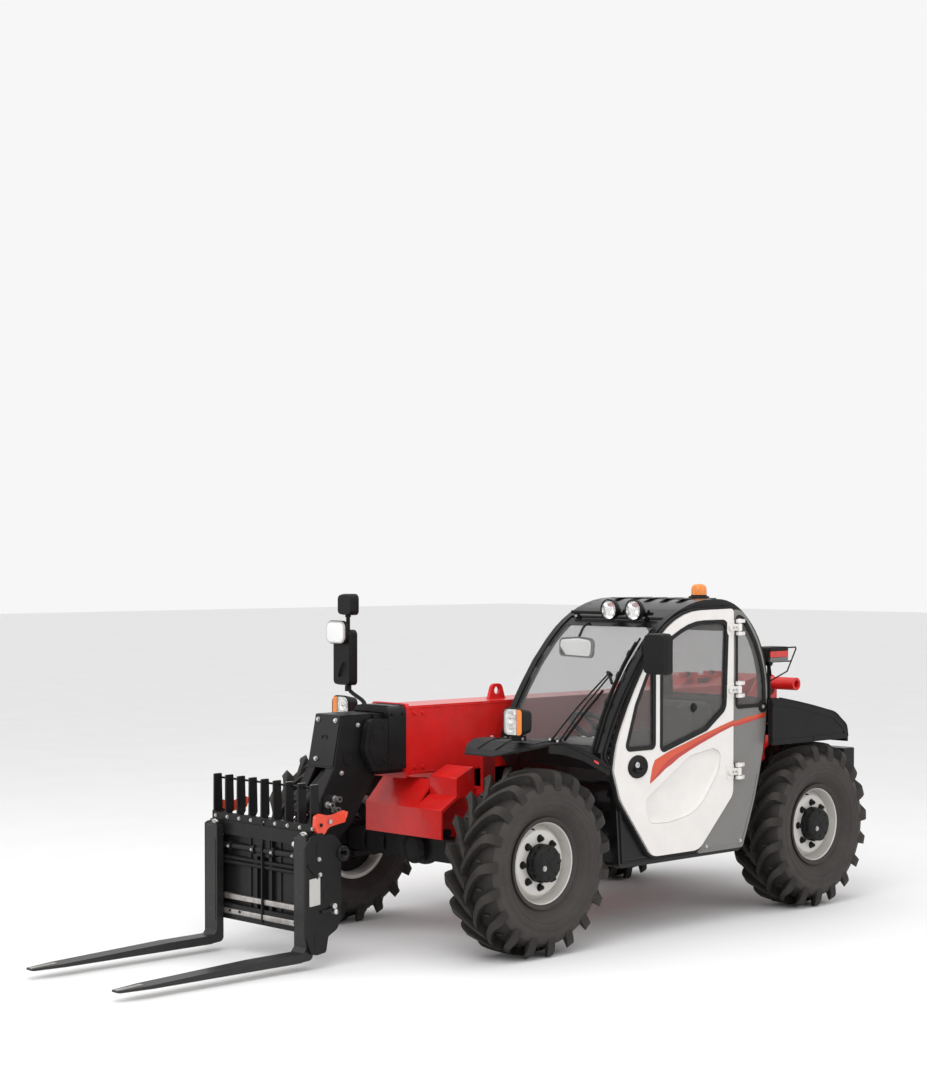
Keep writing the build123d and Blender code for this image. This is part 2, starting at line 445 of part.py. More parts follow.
DOOR = [(-830, 415, 90), (-1225, 415, 120), (-1520, 700, 80), (-1520, 1745, 25), (-1130, 1738, -1), (-925, 1640, -1),
        (-770, 1440, -1), (-640, 1235, -1), (-545, 1040, -1), (-520, 900, 60), (-575, 740, 150)]
WIN_A = [(-620, 1010, 20), (-840, 1010, 20), (-840, 1475, 10), (-790, 1400, 60), (-700, 1240, 100)]
WIN_B = [(-905, 985, 20), (-1280, 1085, 60), (-1440, 1190, 60), (-1460, 1670, 40), (-1160, 1670, -1), (-965, 1580, -1), (-905, 1510, 30)]
door = xz(DOOR, 838, DOOR_Y, WIN_A, WIN_B)
fixed = None
for hz in (1640, 1290, 830):
    door += box(HINGE[0] + 12, -1470, DOOR_Y - 2, HINGE[1] + 12, hz - 20, hz + 20)
    door += cyl_z(HINGE[0], HINGE[1], 16, hz - 20, hz + 20)
    door -= cyl_z(HINGE[0], HINGE[1], 8.05, hz - 30, hz + 30)
    h = cyl_z(HINGE[0], HINGE[1], 8.0, hz - 44, hz + 44)
    for z0, z1 in ((hz + 25, hz + 45), (hz - 45, hz - 25)):
        h += cyl_z(HINGE[0], HINGE[1], 16, z0, z1) + box(HINGE[0] - 60, HINGE[0] - 2, 851, HINGE[1] + 12, z0, z1)
    fixed = h if fixed is None else fixed + h
P["cab_door"] = door
P["door_glass"] = xz(inset(WIN_A, -0.2), 848, 854) + xz(inset(WIN_B, -0.2), 848, 854)
QUARTER = [(-1536, 704, 8), (-1536, 1742, 20), (-1620, 1730, -1), (-1760, 1580, -1), (-1845, 1340, -1), (-1835, 1050, -1), (-1735, 660, -1), (-1622, 392, 24), (-1214, 392, 12)]
QWIN = [(-1566, 1190, 20), (-1566, 1700, 15), (-1622, 1685, -1), (-1738, 1550, -1), (-1812, 1345, -1), (-1812, 1192, 30)]
P["quarter_panel"] = xz(QUARTER, CAB_Y1, 851, QWIN) + fixed
P["quarter_glass"] = xz(QWIN, 838, 844)

cy = (IY0 + IY1) / 2
P["seat_base"] = box(-1500, -1180, cy - 190, cy + 190, 396, 640)
P["seat_cushion"] = xz([(-1560, 641, 20), (-1560, 735, 30), (-1080, 765, 45), (-1080, 680, 40), (-1130, 641, 10)], cy - 235, cy + 235)
P["seat_back"] = xz([(-1565, 742, 20), (-1450, 742, 20), (-1540, 1240, 40), (-1640, 1240, 50)], cy - 220, cy + 220)
con = xz([(-660, 397, 20), (-840, 397, 20), (-780, 760, 60), (-720, 985, 30), (-640, 985, 30), (-640, 560, 60)], cy - 110, cy + 110)
con += rod((-730, 900), (-850, 1060), 22, cy)
P["console"] = con
wheel = Pos(-862, cy, 1076) * Rot(0, -36, 0) * Torus(165, 14)
wheel += Pos(-862, cy, 1076) * Rot(0, -36, 0) * Cylinder(42, 30)
for a in (0, 120, 240):
    wheel += Pos(-862, cy, 1076) * Rot(0, -36, 0) * Rot(0, 0, a) * Pos(95, 0, 0) * Box(150, 22, 10)
P["steering_wheel"] = wheel

# ---- lights and mirrors -------------------------------------------------
lamp = box(-1012, -978, 110, 720, 1712, 1732)
for ly in (475, 655):
    lamp += cyl_x(ly, 1742, 60, -955, -900) + box(-1000, -950, ly - 18, ly + 18, 1712, 1750)
lamp += box(-1012, -978, 130, 170, 1680, 1713) + box(-1012, -978, 640, 680, 1680, 1713)
P["roof_lights"] = lamp - xz(CAB, CAB_Y0, CAB_Y1)
bc = cyl_z(-1532, 600, 60, 1770, 1812) + cyl_z(-1532, 600, 44, 1811, 1882)
P["beacon"] = bc - xz(CAB, CAB_Y0, CAB_Y1)
hl = None
for s in (1, -1):
    y0, y1 = sorted((s * 612, s * 758))
    h = cyl_z(15, s * 685, 20, 1066, 1112) + box(-30, 60, y0, y1, 1106, 1258)
    hl = h if hl is None else hl + h
P["headlights"] = hl - ff
ml = box(-740, -674, 925, 1084, 1408, 1630)
arm = Vector(-800, 806, 1540)
arm_to = Vector(-712, 940, 1545)
ml += Solid.make_cylinder(9, (arm_to - arm).length, Plane(origin=arm, z_dir=(arm_to - arm).normalized()))
P["mirror_left"] = ml - P["cab_left_frame"]
mr = cyl_z(-100, -800, 12, 1284, 1780) + box(-130, -70, -902, -752, 1300, 1620) + box(-130, -70, -866, -738, 1700, 1825)
mr += box(-62, -30, -920, -752, 1538, 1672) + box(-75, -55, -815, -785, 1560, 1600)
low, high = Vector(-100, -650, 1196), Vector(-100, -800, 1286)
mr += Solid.make_cylinder(12, (high - low).length, Plane(origin=low, z_dir=(high - low).normalized()))
mr += Pos(-100, -650, 1196) * Sphere(12.5) + Pos(-100, -800, 1286) * Sphere(12.5) + cyl_z(-100, -650, 12, 1070, 1197)
P["mirror_right"] = mr - ff
rl = box(-2350, -2160, 500, 620, 1408, 1502) + cyl_z(-2230, 560, 14, 1158, 1409) + box(-2440, -2340, 596, 612, 1400, 1412)
P["rear_light"] = rl - P["rear_fender"]

# ---- write --------------------------------------------------------------
if __name__ == "__main__":
    os.makedirs("parts", exist_ok=True)
    lo, hi = [1e9] * 3, [-1e9] * 3
    for name, s in P.items():
        bb = s.bounding_box()
        lo = [min(lo[0], bb.min.X), min(lo[1], bb.min.Y), min(lo[2], bb.min.Z)]
        hi = [max(hi[0], bb.max.X), max(hi[1], bb.max.Y), max(hi[2], bb.max.Z)]
        m = Pos(-SHIFT_X, -SHIFT_Y, LIFT_Z) * s
        export_step(m, "parts/%s.step" % name)
    print("box", [round(v, 1) for v in lo], [round(v, 1) for v in hi], "middle", (lo[0] + hi[0]) / 2, (lo[1] + hi[1]) / 2)
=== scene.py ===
import bpy, bmesh, math
import numpy as np
from mathutils import Vector, Matrix, Quaternion, noise
from mathutils.geometry import tessellate_polygon


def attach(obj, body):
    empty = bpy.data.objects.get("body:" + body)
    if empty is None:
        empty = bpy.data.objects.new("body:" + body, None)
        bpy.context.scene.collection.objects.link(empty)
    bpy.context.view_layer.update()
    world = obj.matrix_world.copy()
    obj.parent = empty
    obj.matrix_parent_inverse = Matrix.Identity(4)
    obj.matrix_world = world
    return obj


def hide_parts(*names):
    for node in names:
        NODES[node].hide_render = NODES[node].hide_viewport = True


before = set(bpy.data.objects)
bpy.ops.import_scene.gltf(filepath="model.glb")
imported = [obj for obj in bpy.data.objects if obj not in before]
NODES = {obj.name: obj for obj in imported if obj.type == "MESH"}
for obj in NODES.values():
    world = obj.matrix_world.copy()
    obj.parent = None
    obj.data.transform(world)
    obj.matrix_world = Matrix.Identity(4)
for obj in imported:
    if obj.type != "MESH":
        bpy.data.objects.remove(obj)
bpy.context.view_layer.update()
COL = bpy.context.scene.collection
SX, SY, LZ = -420.0, 82.0, 23.0          # vehicle frame (mm, front axle at x = 0) to row frame


def W(p):
    return Vector(((p[0] - SX) / 1000, (p[1] - SY) / 1000, (p[2] + LZ) / 1000))


# ---------------------------------------------------------------- materials
MATS = {}


def new_mat(name):
    m = bpy.data.materials.new(name)
    m.use_nodes = True
    nt = m.node_tree
    nt.nodes.clear()
    out = nt.nodes.new("ShaderNodeOutputMaterial")
    b = nt.nodes.new("ShaderNodeBsdfPrincipled")
    nt.links.new(b.outputs[0], out.inputs[0])
    return m, nt, b, out


def N(nt, kind, **kw):
    n = nt.nodes.new(kind)
    for k, v in kw.items():
        if k in n.inputs:
            n.inputs[k].default_value = v
        else:
            setattr(n, k, v)
    return n


def noise_tex(nt, co, scale, detail=4.0, rough=0.55, dist=0.0):
    n = nt.nodes.new("ShaderNodeTexNoise")
    n.inputs["Scale"].default_value = scale
    n.inputs["Detail"].default_value = detail
    n.inputs["Roughness"].default_value = rough
    n.inputs["Distortion"].default_value = dist
    nt.links.new(co, n.inputs["Vector"])
    return n.outputs["Fac"]


def ramp(nt, fac, a, b, ca=(0, 0, 0, 1), cb=(1, 1, 1, 1)):
    r = nt.nodes.new("ShaderNodeValToRGB")
    r.color_ramp.elements[0].position = a
    r.color_ramp.elements[1].position = b
    r.color_ramp.elements[0].color = ca
    r.color_ramp.elements[1].color = cb
    nt.links.new(fac, r.inputs[0])
    return r.outputs[0]


def mixc(nt, fac, a, b, mode="MIX"):
    m = nt.nodes.new("ShaderNodeMix")
    m.data_type = "RGBA"
    m.blend_type = mode
    for sock, v in ((m.inputs["Factor"], fac), (m.inputs[6], a), (m.inputs[7], b)):
        if hasattr(v, "node"):
            nt.links.new(v, sock)
        elif isinstance(v, (int, float)):
            sock.default_value = v
        else:
            sock.default_value = (v[0], v[1], v[2], 1)
    return m.outputs[2]


def math_n(nt, op, a, b=None, clamp=False):
    m = nt.nodes.new("ShaderNodeMath")
    m.operation = op
    m.use_clamp = clamp
    for i, v in enumerate((a, b)):
        if v is None:
            continue
        if hasattr(v, "node"):
            nt.links.new(v, m.inputs[i])
        else:
            m.inputs[i].default_value = v
    return m.outputs[0]


def coords(nt):
    c = nt.nodes.new("ShaderNodeTexCoord")
    return c.outputs["Object"]


def bump(nt, b, h, strength, dist, prev=None):
    n = nt.nodes.new("ShaderNodeBump")
    n.inputs["Strength"].default_value = strength
    n.inputs["Distance"].default_value = dist
    nt.links.new(h, n.inputs["Height"])
    if prev is not None:
        nt.links.new(prev, n.inputs["Normal"])
    if b is not None:
        nt.links.new(n.outputs[0], b.inputs["Normal"])
    return n.outputs[0]


def edge_mask(nt, lo=0.53, hi=0.6):
    g = nt.nodes.new("ShaderNodeNewGeometry")
    return ramp(nt, g.outputs["Pointiness"], lo, hi)


def finish_mat(name, base, rough=0.4, metal=0.0, coat=0.0, coat_rough=0.05, var=0.12, var_scale=9.0, dust=(0.33, 0.29, 0.25), dust_amt=0.10,
               wear=None, wear_amt=0.5, grain=900.0, grain_amt=0.10, orange=0.0, spec=0.5, rough_var=0.08, low_dust=0.0, metal_wear=True, speck=0.0):
    """Painted metal or moulded plastic: broad colour drift, dust in low places, worn edges, fine grain."""
    if name in MATS:
        return MATS[name]
    m, nt, b, out = new_mat(name)
    co = coords(nt)
    big = noise_tex(nt, co, var_scale, 5, 0.6)
    fine = noise_tex(nt, co, 120.0, 4, 0.6)
    dark = tuple(c * (1 - var) for c in base)
    light = tuple(min(1.0, c * (1 + var)) for c in base)
    col = mixc(nt, ramp(nt, big, 0.3, 0.7), dark, light)
    d = math_n(nt, "MULTIPLY", ramp(nt, noise_tex(nt, co, 5.0, 8, 0.7), 0.42, 0.78), dust_amt)
    if low_dust:
        s = nt.nodes.new("ShaderNodeSeparateXYZ")
        nt.links.new(co, s.inputs[0])
        h = math_n(nt, "MULTIPLY", math_n(nt, "SUBTRACT", 1.0, math_n(nt, "DIVIDE", s.outputs[2], 0.9), True), low_dust)
        h = math_n(nt, "MULTIPLY", h, ramp(nt, noise_tex(nt, co, 14.0, 6, 0.65), 0.35, 0.7))
        d = math_n(nt, "ADD", d, h, True)
    col = mixc(nt, d, col, dust)
    r0 = math_n(nt, "ADD", rough - rough_var / 2, math_n(nt, "MULTIPLY", fine, rough_var))
    r0 = math_n(nt, "ADD", r0, math_n(nt, "MULTIPLY", d, 0.35), True)
    if wear:
        e = math_n(nt, "MULTIPLY", edge_mask(nt, 0.56, 0.68), ramp(nt, noise_tex(nt, co, 42.0, 5, 0.6), 0.55, 0.72))
        e = math_n(nt, "MULTIPLY", e, wear_amt * 0.45, True)
        col = mixc(nt, e, col, wear)
        if metal_wear:
            nt.links.new(math_n(nt, "ADD", metal, math_n(nt, "MULTIPLY", e, 0.6), True), b.inputs["Metallic"])
    if speck:
        v = noise_tex(nt, co, 260.0, 3, 0.5)
        col = mixc(nt, math_n(nt, "MULTIPLY", ramp(nt, v, 0.62, 0.7), speck), col, tuple(min(1, c * 1.6 + 0.05) for c in base))
    nt.links.new(col, b.inputs["Base Color"])
    nt.links.new(r0, b.inputs["Roughness"])
    if not (wear and metal_wear):
        b.inputs["Metallic"].default_value = metal
    b.inputs["Coat Weight"].default_value = coat
    b.inputs["Coat Roughness"].default_value = coat_rough
    b.inputs["Specular IOR Level"].default_value = spec
    g1 = bump(nt, None, noise_tex(nt, co, grain, 3, 0.6), grain_amt, 0.0006)
    if orange:
        g1 = bump(nt, None, noise_tex(nt, co, 55.0, 2, 0.5), orange, 0.002, g1)
    bump(nt, b, noise_tex(nt, co, 22.0, 4, 0.6), grain_amt * 0.5, 0.002, g1)
    MATS[name] = m
    return m


RED = (0.585, 0.010, 0.009)
M_RED = finish_mat("red_paint", RED, rough=0.32, coat=0.25, coat_rough=0.06, var=0.10, dust_amt=0.05, wear=(0.25, 0.20, 0.18), wear_amt=0.35, grain_amt=0.05, orange=0.03, low_dust=0.06, spec=0.30)
M_ORANGE = finish_mat("latch_red", (0.68, 0.045, 0.012), rough=0.38, coat=0.4, var=0.10, dust_amt=0.08, wear=(0.3, 0.2, 0.15), grain_amt=0.06)
M_WHITE = finish_mat("door_white", (0.70, 0.675, 0.655), rough=0.30, coat=0.3, coat_rough=0.05, var=0.035, dust=(0.55, 0.50, 0.45), dust_amt=0.10, wear=(0.40, 0.38, 0.36), wear_amt=0.25, grain_amt=0.04, orange=0.02, metal_wear=False, spec=0.35)
M_STRIPE = finish_mat("stripe_red", (0.56, 0.062, 0.018), rough=0.34, coat=0.25, var=0.06, dust_amt=0.04, grain_amt=0.03)
M_STRIPE2 = finish_mat("stripe_deep", (0.42, 0.022, 0.012), rough=0.30, coat=0.5, var=0.06, dust_amt=0.04, grain_amt=0.03)
M_GREY = finish_mat("panel_grey", (0.155, 0.150, 0.143), rough=0.42, coat=0.15, var=0.05, dust_amt=0.06, wear=(0.3, 0.29, 0.28), wear_amt=0.3, grain_amt=0.12)
M_LINING = finish_mat("cab_lining", (0.12, 0.118, 0.115), rough=0.62, var=0.06, dust_amt=0.05, grain=500, grain_amt=0.25, metal_wear=False, speck=0.25)
M_BLACK = finish_mat("black_paint", (0.0085, 0.0082, 0.0085), rough=0.36, coat=0.06, coat_rough=0.12, var=0.15, dust_amt=0.10, wear=(0.20, 0.19, 0.18), wear_amt=0.45, grain_amt=0.10, orange=0.03, low_dust=0.05, dust=(0.045, 0.041, 0.038), spec=0.16)
M_CABBLK = finish_mat("cab_black", (0.0070, 0.0068, 0.0068), rough=0.24, coat=0.16, coat_rough=0.06, var=0.12, dust_amt=0.06, wear=(0.12, 0.12, 0.12), wear_amt=0.2, grain_amt=0.05, low_dust=0.04, dust=(0.045, 0.041, 0.038), spec=0.18)
M_AXLE = finish_mat("axle_black", (0.0095, 0.009, 0.009), rough=0.50, coat=0.05, var=0.2, dust_amt=0.12, wear=(0.24, 0.22, 0.2), wear_amt=0.5, grain=500, grain_amt=0.35, low_dust=0.12, dust=(0.045, 0.041, 0.038), spec=0.14)
M_PLASTIC = finish_mat("black_plastic", (0.0075, 0.0072, 0.0072), rough=0.46, var=0.10, dust_amt=0.10, grain=1500, grain_amt=0.35, speck=0.12, wear=(0.09, 0.088, 0.085), wear_amt=0.4, metal_wear=False, dust=(0.045, 0.041, 0.038), spec=0.16)
M_RUBSEAL = finish_mat("seal_rubber", (0.012, 0.012, 0.012), rough=0.62, var=0.12, dust_amt=0.08, grain=1200, grain_amt=0.25, metal_wear=False, dust=(0.075, 0.068, 0.062), spec=0.2)
M_RIM = finish_mat("rim_silver", (0.56, 0.545, 0.52), rough=0.38, metal=0.25, coat=0.25, coat_rough=0.15, var=0.05, dust=(0.30, 0.26, 0.22), dust_amt=0.22, wear=(0.30, 0.27, 0.25), wear_amt=0.35, grain_amt=0.08, low_dust=0.10)
M_STEEL = finish_mat("bright_steel", (0.62, 0.61, 0.60), rough=0.30, metal=1.0, var=0.10, dust_amt=0.10, grain_amt=0.08)
M_CHROME = finish_mat("chrome_rod", (0.78, 0.78, 0.79), rough=0.10, metal=1.0, var=0.03, dust_amt=0.03, grain_amt=0.02, rough_var=0.04)
M_ZINC = finish_mat("zinc_fitting", (0.55, 0.54, 0.52), rough=0.34, metal=0.9, var=0.15, dust_amt=0.15, grain_amt=0.12)
M_FORK = finish_mat("fork_black", (0.013, 0.0125, 0.0125), rough=0.42, coat=0.1, var=0.2, dust_amt=0.08, wear=(0.42, 0.41, 0.40), wear_amt=0.8, grain=350, grain_amt=0.25, low_dust=0.06, dust=(0.075, 0.068, 0.062), spec=0.28)
# pale worn steel: real wear on the fork heels, tips and lower bars, and also a painted highlight on the backrest
# plates' top edges
M_WORN_STEEL_AND_HIGHLIGHT = finish_mat("worn_steel_and_painted_highlight", (0.40, 0.385, 0.37), rough=0.36, metal=0.85, var=0.25, var_scale=24, dust=(0.18, 0.12, 0.08), dust_amt=0.30, grain_amt=0.20)
# pale grey plate finish: real plates, pads, switches and a filter, and also a painted bright window on the carriage's
# right end plate
M_PALE_PLATE = finish_mat("blank_plate", (0.46, 0.45, 0.43), rough=0.45, var=0.04, dust_amt=0.15, grain_amt=0.05)
M_YELLOW = finish_mat("tag_yellow", (0.62, 0.42, 0.02), rough=0.4, var=0.05, dust_amt=0.1, grain_amt=0.05)
M_SEATPL = finish_mat("seat_shell", (0.022, 0.022, 0.023), rough=0.55, var=0.1, dust_amt=0.05, grain=1100, grain_amt=0.35, metal_wear=False, dust=(0.075, 0.068, 0.062), spec=0.22)


def rubber_mat():
    m, nt, b, out = new_mat("tyre_rubber")
    co = coords(nt)
    big = noise_tex(nt, co, 7.0, 6, 0.65)
    mid = noise_tex(nt, co, 38.0, 6, 0.65)
    col = mixc(nt, ramp(nt, big, 0.35, 0.7), (0.0095, 0.0085, 0.0078), (0.018, 0.0155, 0.0138))
    col = mixc(nt, math_n(nt, "MULTIPLY", ramp(nt, mid, 0.45, 0.75), 0.30), col, (0.042, 0.036, 0.031))
    col = mixc(nt, math_n(nt, "MULTIPLY", edge_mask(nt, 0.515, 0.57), 0.30), col, (0.085, 0.074, 0.065))
    nt.links.new(col, b.inputs["Base Color"])
    r = math_n(nt, "ADD", 0.52, math_n(nt, "MULTIPLY", mid, 0.30), True)
    nt.links.new(r, b.inputs["Roughness"])
    b.inputs["Specular IOR Level"].default_value = 0.30
    g = bump(nt, None, noise_tex(nt, co, 420.0, 4, 0.65), 0.35, 0.0012)
    bump(nt, b, noise_tex(nt, co, 70.0, 5, 0.6), 0.18, 0.002, g)
    MATS["tyre_rubber"] = m
    return m


M_TYRE = rubber_mat()
M_WALL = finish_mat("tyre_wall", (0.034, 0.029, 0.027), rough=0.58, var=0.18, dust_amt=0.22, grain=420, grain_amt=0.30, metal_wear=False, dust=(0.085, 0.070, 0.062), spec=0.30)


def glass_mat(name, tint, alpha, rough=0.02, dirt=0.10):
    """Thin safety glass as a tinted see-through sheet with a clear reflection and faint road film."""
    m = bpy.data.materials.new(name)
    m.use_nodes = True
    nt = m.node_tree
    nt.nodes.clear()
    out = nt.nodes.new("ShaderNodeOutputMaterial")
    b = nt.nodes.new("ShaderNodeBsdfPrincipled")
    co = coords(nt)
    f1 = ramp(nt, noise_tex(nt, co, 6.0, 7, 0.7), 0.45, 0.8)
    f2 = ramp(nt, noise_tex(nt, co, 150.0, 4, 0.7), 0.5, 0.8)
    film = math_n(nt, "MULTIPLY", math_n(nt, "ADD", f1, math_n(nt, "MULTIPLY", f2, 0.3)), dirt, True)
    col = mixc(nt, film, tint, (0.45, 0.43, 0.40))
    nt.links.new(col, b.inputs["Base Color"])
    nt.links.new(math_n(nt, "ADD", rough, math_n(nt, "MULTIPLY", film, 0.5), True), b.inputs["Roughness"])
    nt.links.new(math_n(nt, "ADD", alpha, math_n(nt, "MULTIPLY", film, 0.25), True), b.inputs["Alpha"])
    b.inputs["Specular IOR Level"].default_value = 0.5
    bump(nt, b, noise_tex(nt, co, 9.0, 2, 0.5), 0.02, 0.001)
    nt.links.new(b.outputs[0], out.inputs[0])
    MATS[name] = m
    return m


M_GLASS = glass_mat("cab_glass", (0.42, 0.43, 0.43), 0.09, dirt=0.03)
M_GLASS_DK = glass_mat("cab_glass_dark", (0.20, 0.195, 0.19), 0.26, dirt=0.03)


def lens_mat(name, col, alpha=0.35, rough=0.05, emit=0.0):
    m, nt, b, out = new_mat(name)
    co = coords(nt)
    w = nt.nodes.new("ShaderNodeTexWave")
    w.wave_type = "BANDS"
    w.bands_direction = "Z"
    w.inputs["Scale"].default_value = 55.0
    w.inputs["Distortion"].default_value = 0.6
    nt.links.new(co, w.inputs["Vector"])
    n = noise_tex(nt, co, 30, 3, 0.5)
    c = mixc(nt, math_n(nt, "MULTIPLY", n, 0.5), col, tuple(min(1, v * 1.3 + 0.02) for v in col))
    nt.links.new(c, b.inputs["Base Color"])
    nt.links.new(math_n(nt, "ADD", rough, math_n(nt, "MULTIPLY", n, 0.06)), b.inputs["Roughness"])
    b.inputs["Alpha"].default_value = 1 - alpha
    b.inputs["Coat Weight"].default_value = 0.6
    if emit:
        b.inputs["Emission Color"].default_value = (*col, 1)
        b.inputs["Emission Strength"].default_value = emit
    bump(nt, b, w.outputs["Fac"], 0.25, 0.001)
    MATS[name] = m
    return m


M_LENS = lens_mat("lens_clear", (0.80, 0.80, 0.79), 0.80)
# amber and red lenses carry a faint emission; on the fenders' red reflectors, which are no lamps, it is a painted glow
M_AMBER = lens_mat("lens_amber", (0.80, 0.22, 0.010), 0.10, emit=0.04)
M_REDLENS = lens_mat("lens_red", (0.55, 0.015, 0.01), 0.10, emit=0.05)
M_REFL = finish_mat("reflector", (0.86, 0.86, 0.85), rough=0.12, metal=1.0, var=0.05, dust_amt=0.02, grain_amt=0.02)


# wide-angle mirror face: part metal, part diffuse near-white, so its brightness is partly a painted reflection
M_MIRROR = finish_mat("mirror_face", (0.92, 0.92, 0.92), rough=0.14, metal=0.55, var=0.02, dust=(0.7, 0.7, 0.7), dust_amt=0.05, grain_amt=0.02, spec=0.6)


def fabric_mat():
    m, nt, b, out = new_mat("seat_fabric")
    co = coords(nt)
    w1 = nt.nodes.new("ShaderNodeTexWave"); w1.bands_direction = "X"; w1.inputs["Scale"].default_value = 260.0
    w2 = nt.nodes.new("ShaderNodeTexWave"); w2.bands_direction = "Y"; w2.inputs["Scale"].default_value = 260.0
    for w in (w1, w2):
        w.inputs["Distortion"].default_value = 1.5
        nt.links.new(co, w.inputs["Vector"])
    weave = math_n(nt, "MAXIMUM", w1.outputs["Fac"], w2.outputs["Fac"])
    big = noise_tex(nt, co, 12, 5, 0.6)
    col = mixc(nt, weave, (0.012, 0.012, 0.014), (0.042, 0.043, 0.047))
    col = mixc(nt, math_n(nt, "MULTIPLY", ramp(nt, big, 0.4, 0.75), 0.4), col, (0.075, 0.072, 0.068))
    nt.links.new(col, b.inputs["Base Color"])
    b.inputs["Roughness"].default_value = 0.88
    b.inputs["Sheen Weight"].default_value = 0.35
    g = bump(nt, None, weave, 0.5, 0.0008)
    bump(nt, b, big, 0.25, 0.004, g)
    MATS["seat_fabric"] = m
    return m


M_FABRIC = fabric_mat()


# ---------------------------------------------------------------- mesh builder
def rounded(pts, seg=6):
    """Outline in 2-D: points (a, b) or (a, b, r) with the corner rounded; r = -1 rounds as much as fits."""
    out = []
    n = len(pts)
    for i, p in enumerate(pts):
        r = p[2] if len(p) > 2 else 0.0
        v = np.array(p[:2], float)
        if r == 0:
            out.append(tuple(v))
            continue
        a = np.array(pts[i - 1][:2], float) - v
        b = np.array(pts[(i + 1) % n][:2], float) - v
        la, lb = np.linalg.norm(a), np.linalg.norm(b)
        ua, ub = a / la, b / lb
        c = max(-1.0, min(1.0, float(ua @ ub)))
        half = math.acos(c) / 2
        if r < 0:                   # as round as its two runs allow
            r = 0.48 * min(la, lb) * math.tan(half)
        if half > math.pi / 2 - 0.01:
            out.append(tuple(v))
            continue
        t = min(r / math.tan(half), la * 0.49, lb * 0.49)
        rr = t * math.tan(half)
        m = ua + ub
        m /= np.linalg.norm(m)
        cen = v + m * (rr / math.sin(half))
        s, e = v + ua * t - cen, v + ub * t - cen
        a0, a1 = math.atan2(s[1], s[0]), math.atan2(e[1], e[0])
        d = (a1 - a0 + math.pi) % (2 * math.pi) - math.pi
        k = max(2, int(seg * abs(d) / (math.pi / 2)) + 1)
        for j in range(k + 1):
            t_ = a0 + d * j / k
            out.append((cen[0] + rr * math.cos(t_), cen[1] + rr * math.sin(t_)))
    res = []
    for q in out:
        if not res or (abs(q[0] - res[-1][0]) + abs(q[1] - res[-1][1])) > 1e-4:
            res.append(q)
    if (abs(res[0][0] - res[-1][0]) + abs(res[0][1] - res[-1][1])) < 1e-4:
        res.pop()
    return res


def area2(p):
    return sum(p[i - 1][0] * p[i][1] - p[i][0] * p[i - 1][1] for i in range(len(p))) / 2


def offset(pts, d):
    """Closed outline moved by d to its left-hand side (outwards for a clockwise outline)."""
    n = len(pts)
    out = []
    for i in range(n):
        p0, p1, p2 = (np.array(pts[j % n][:2], float) for j in (i - 1, i, i + 1))
        a, b = p1 - p0, p2 - p1
        a /= max(1e-9, np.linalg.norm(a)); b /= max(1e-9, np.linalg.norm(b))
        na, nb = np.array((-a[1], a[0])), np.array((-b[1], b[0]))
        m = na + nb
        k = 1 + float(na @ nb)
        q = p1 + m * (d / max(0.35, k))
        out.append((float(q[0]), float(q[1])))
    return out


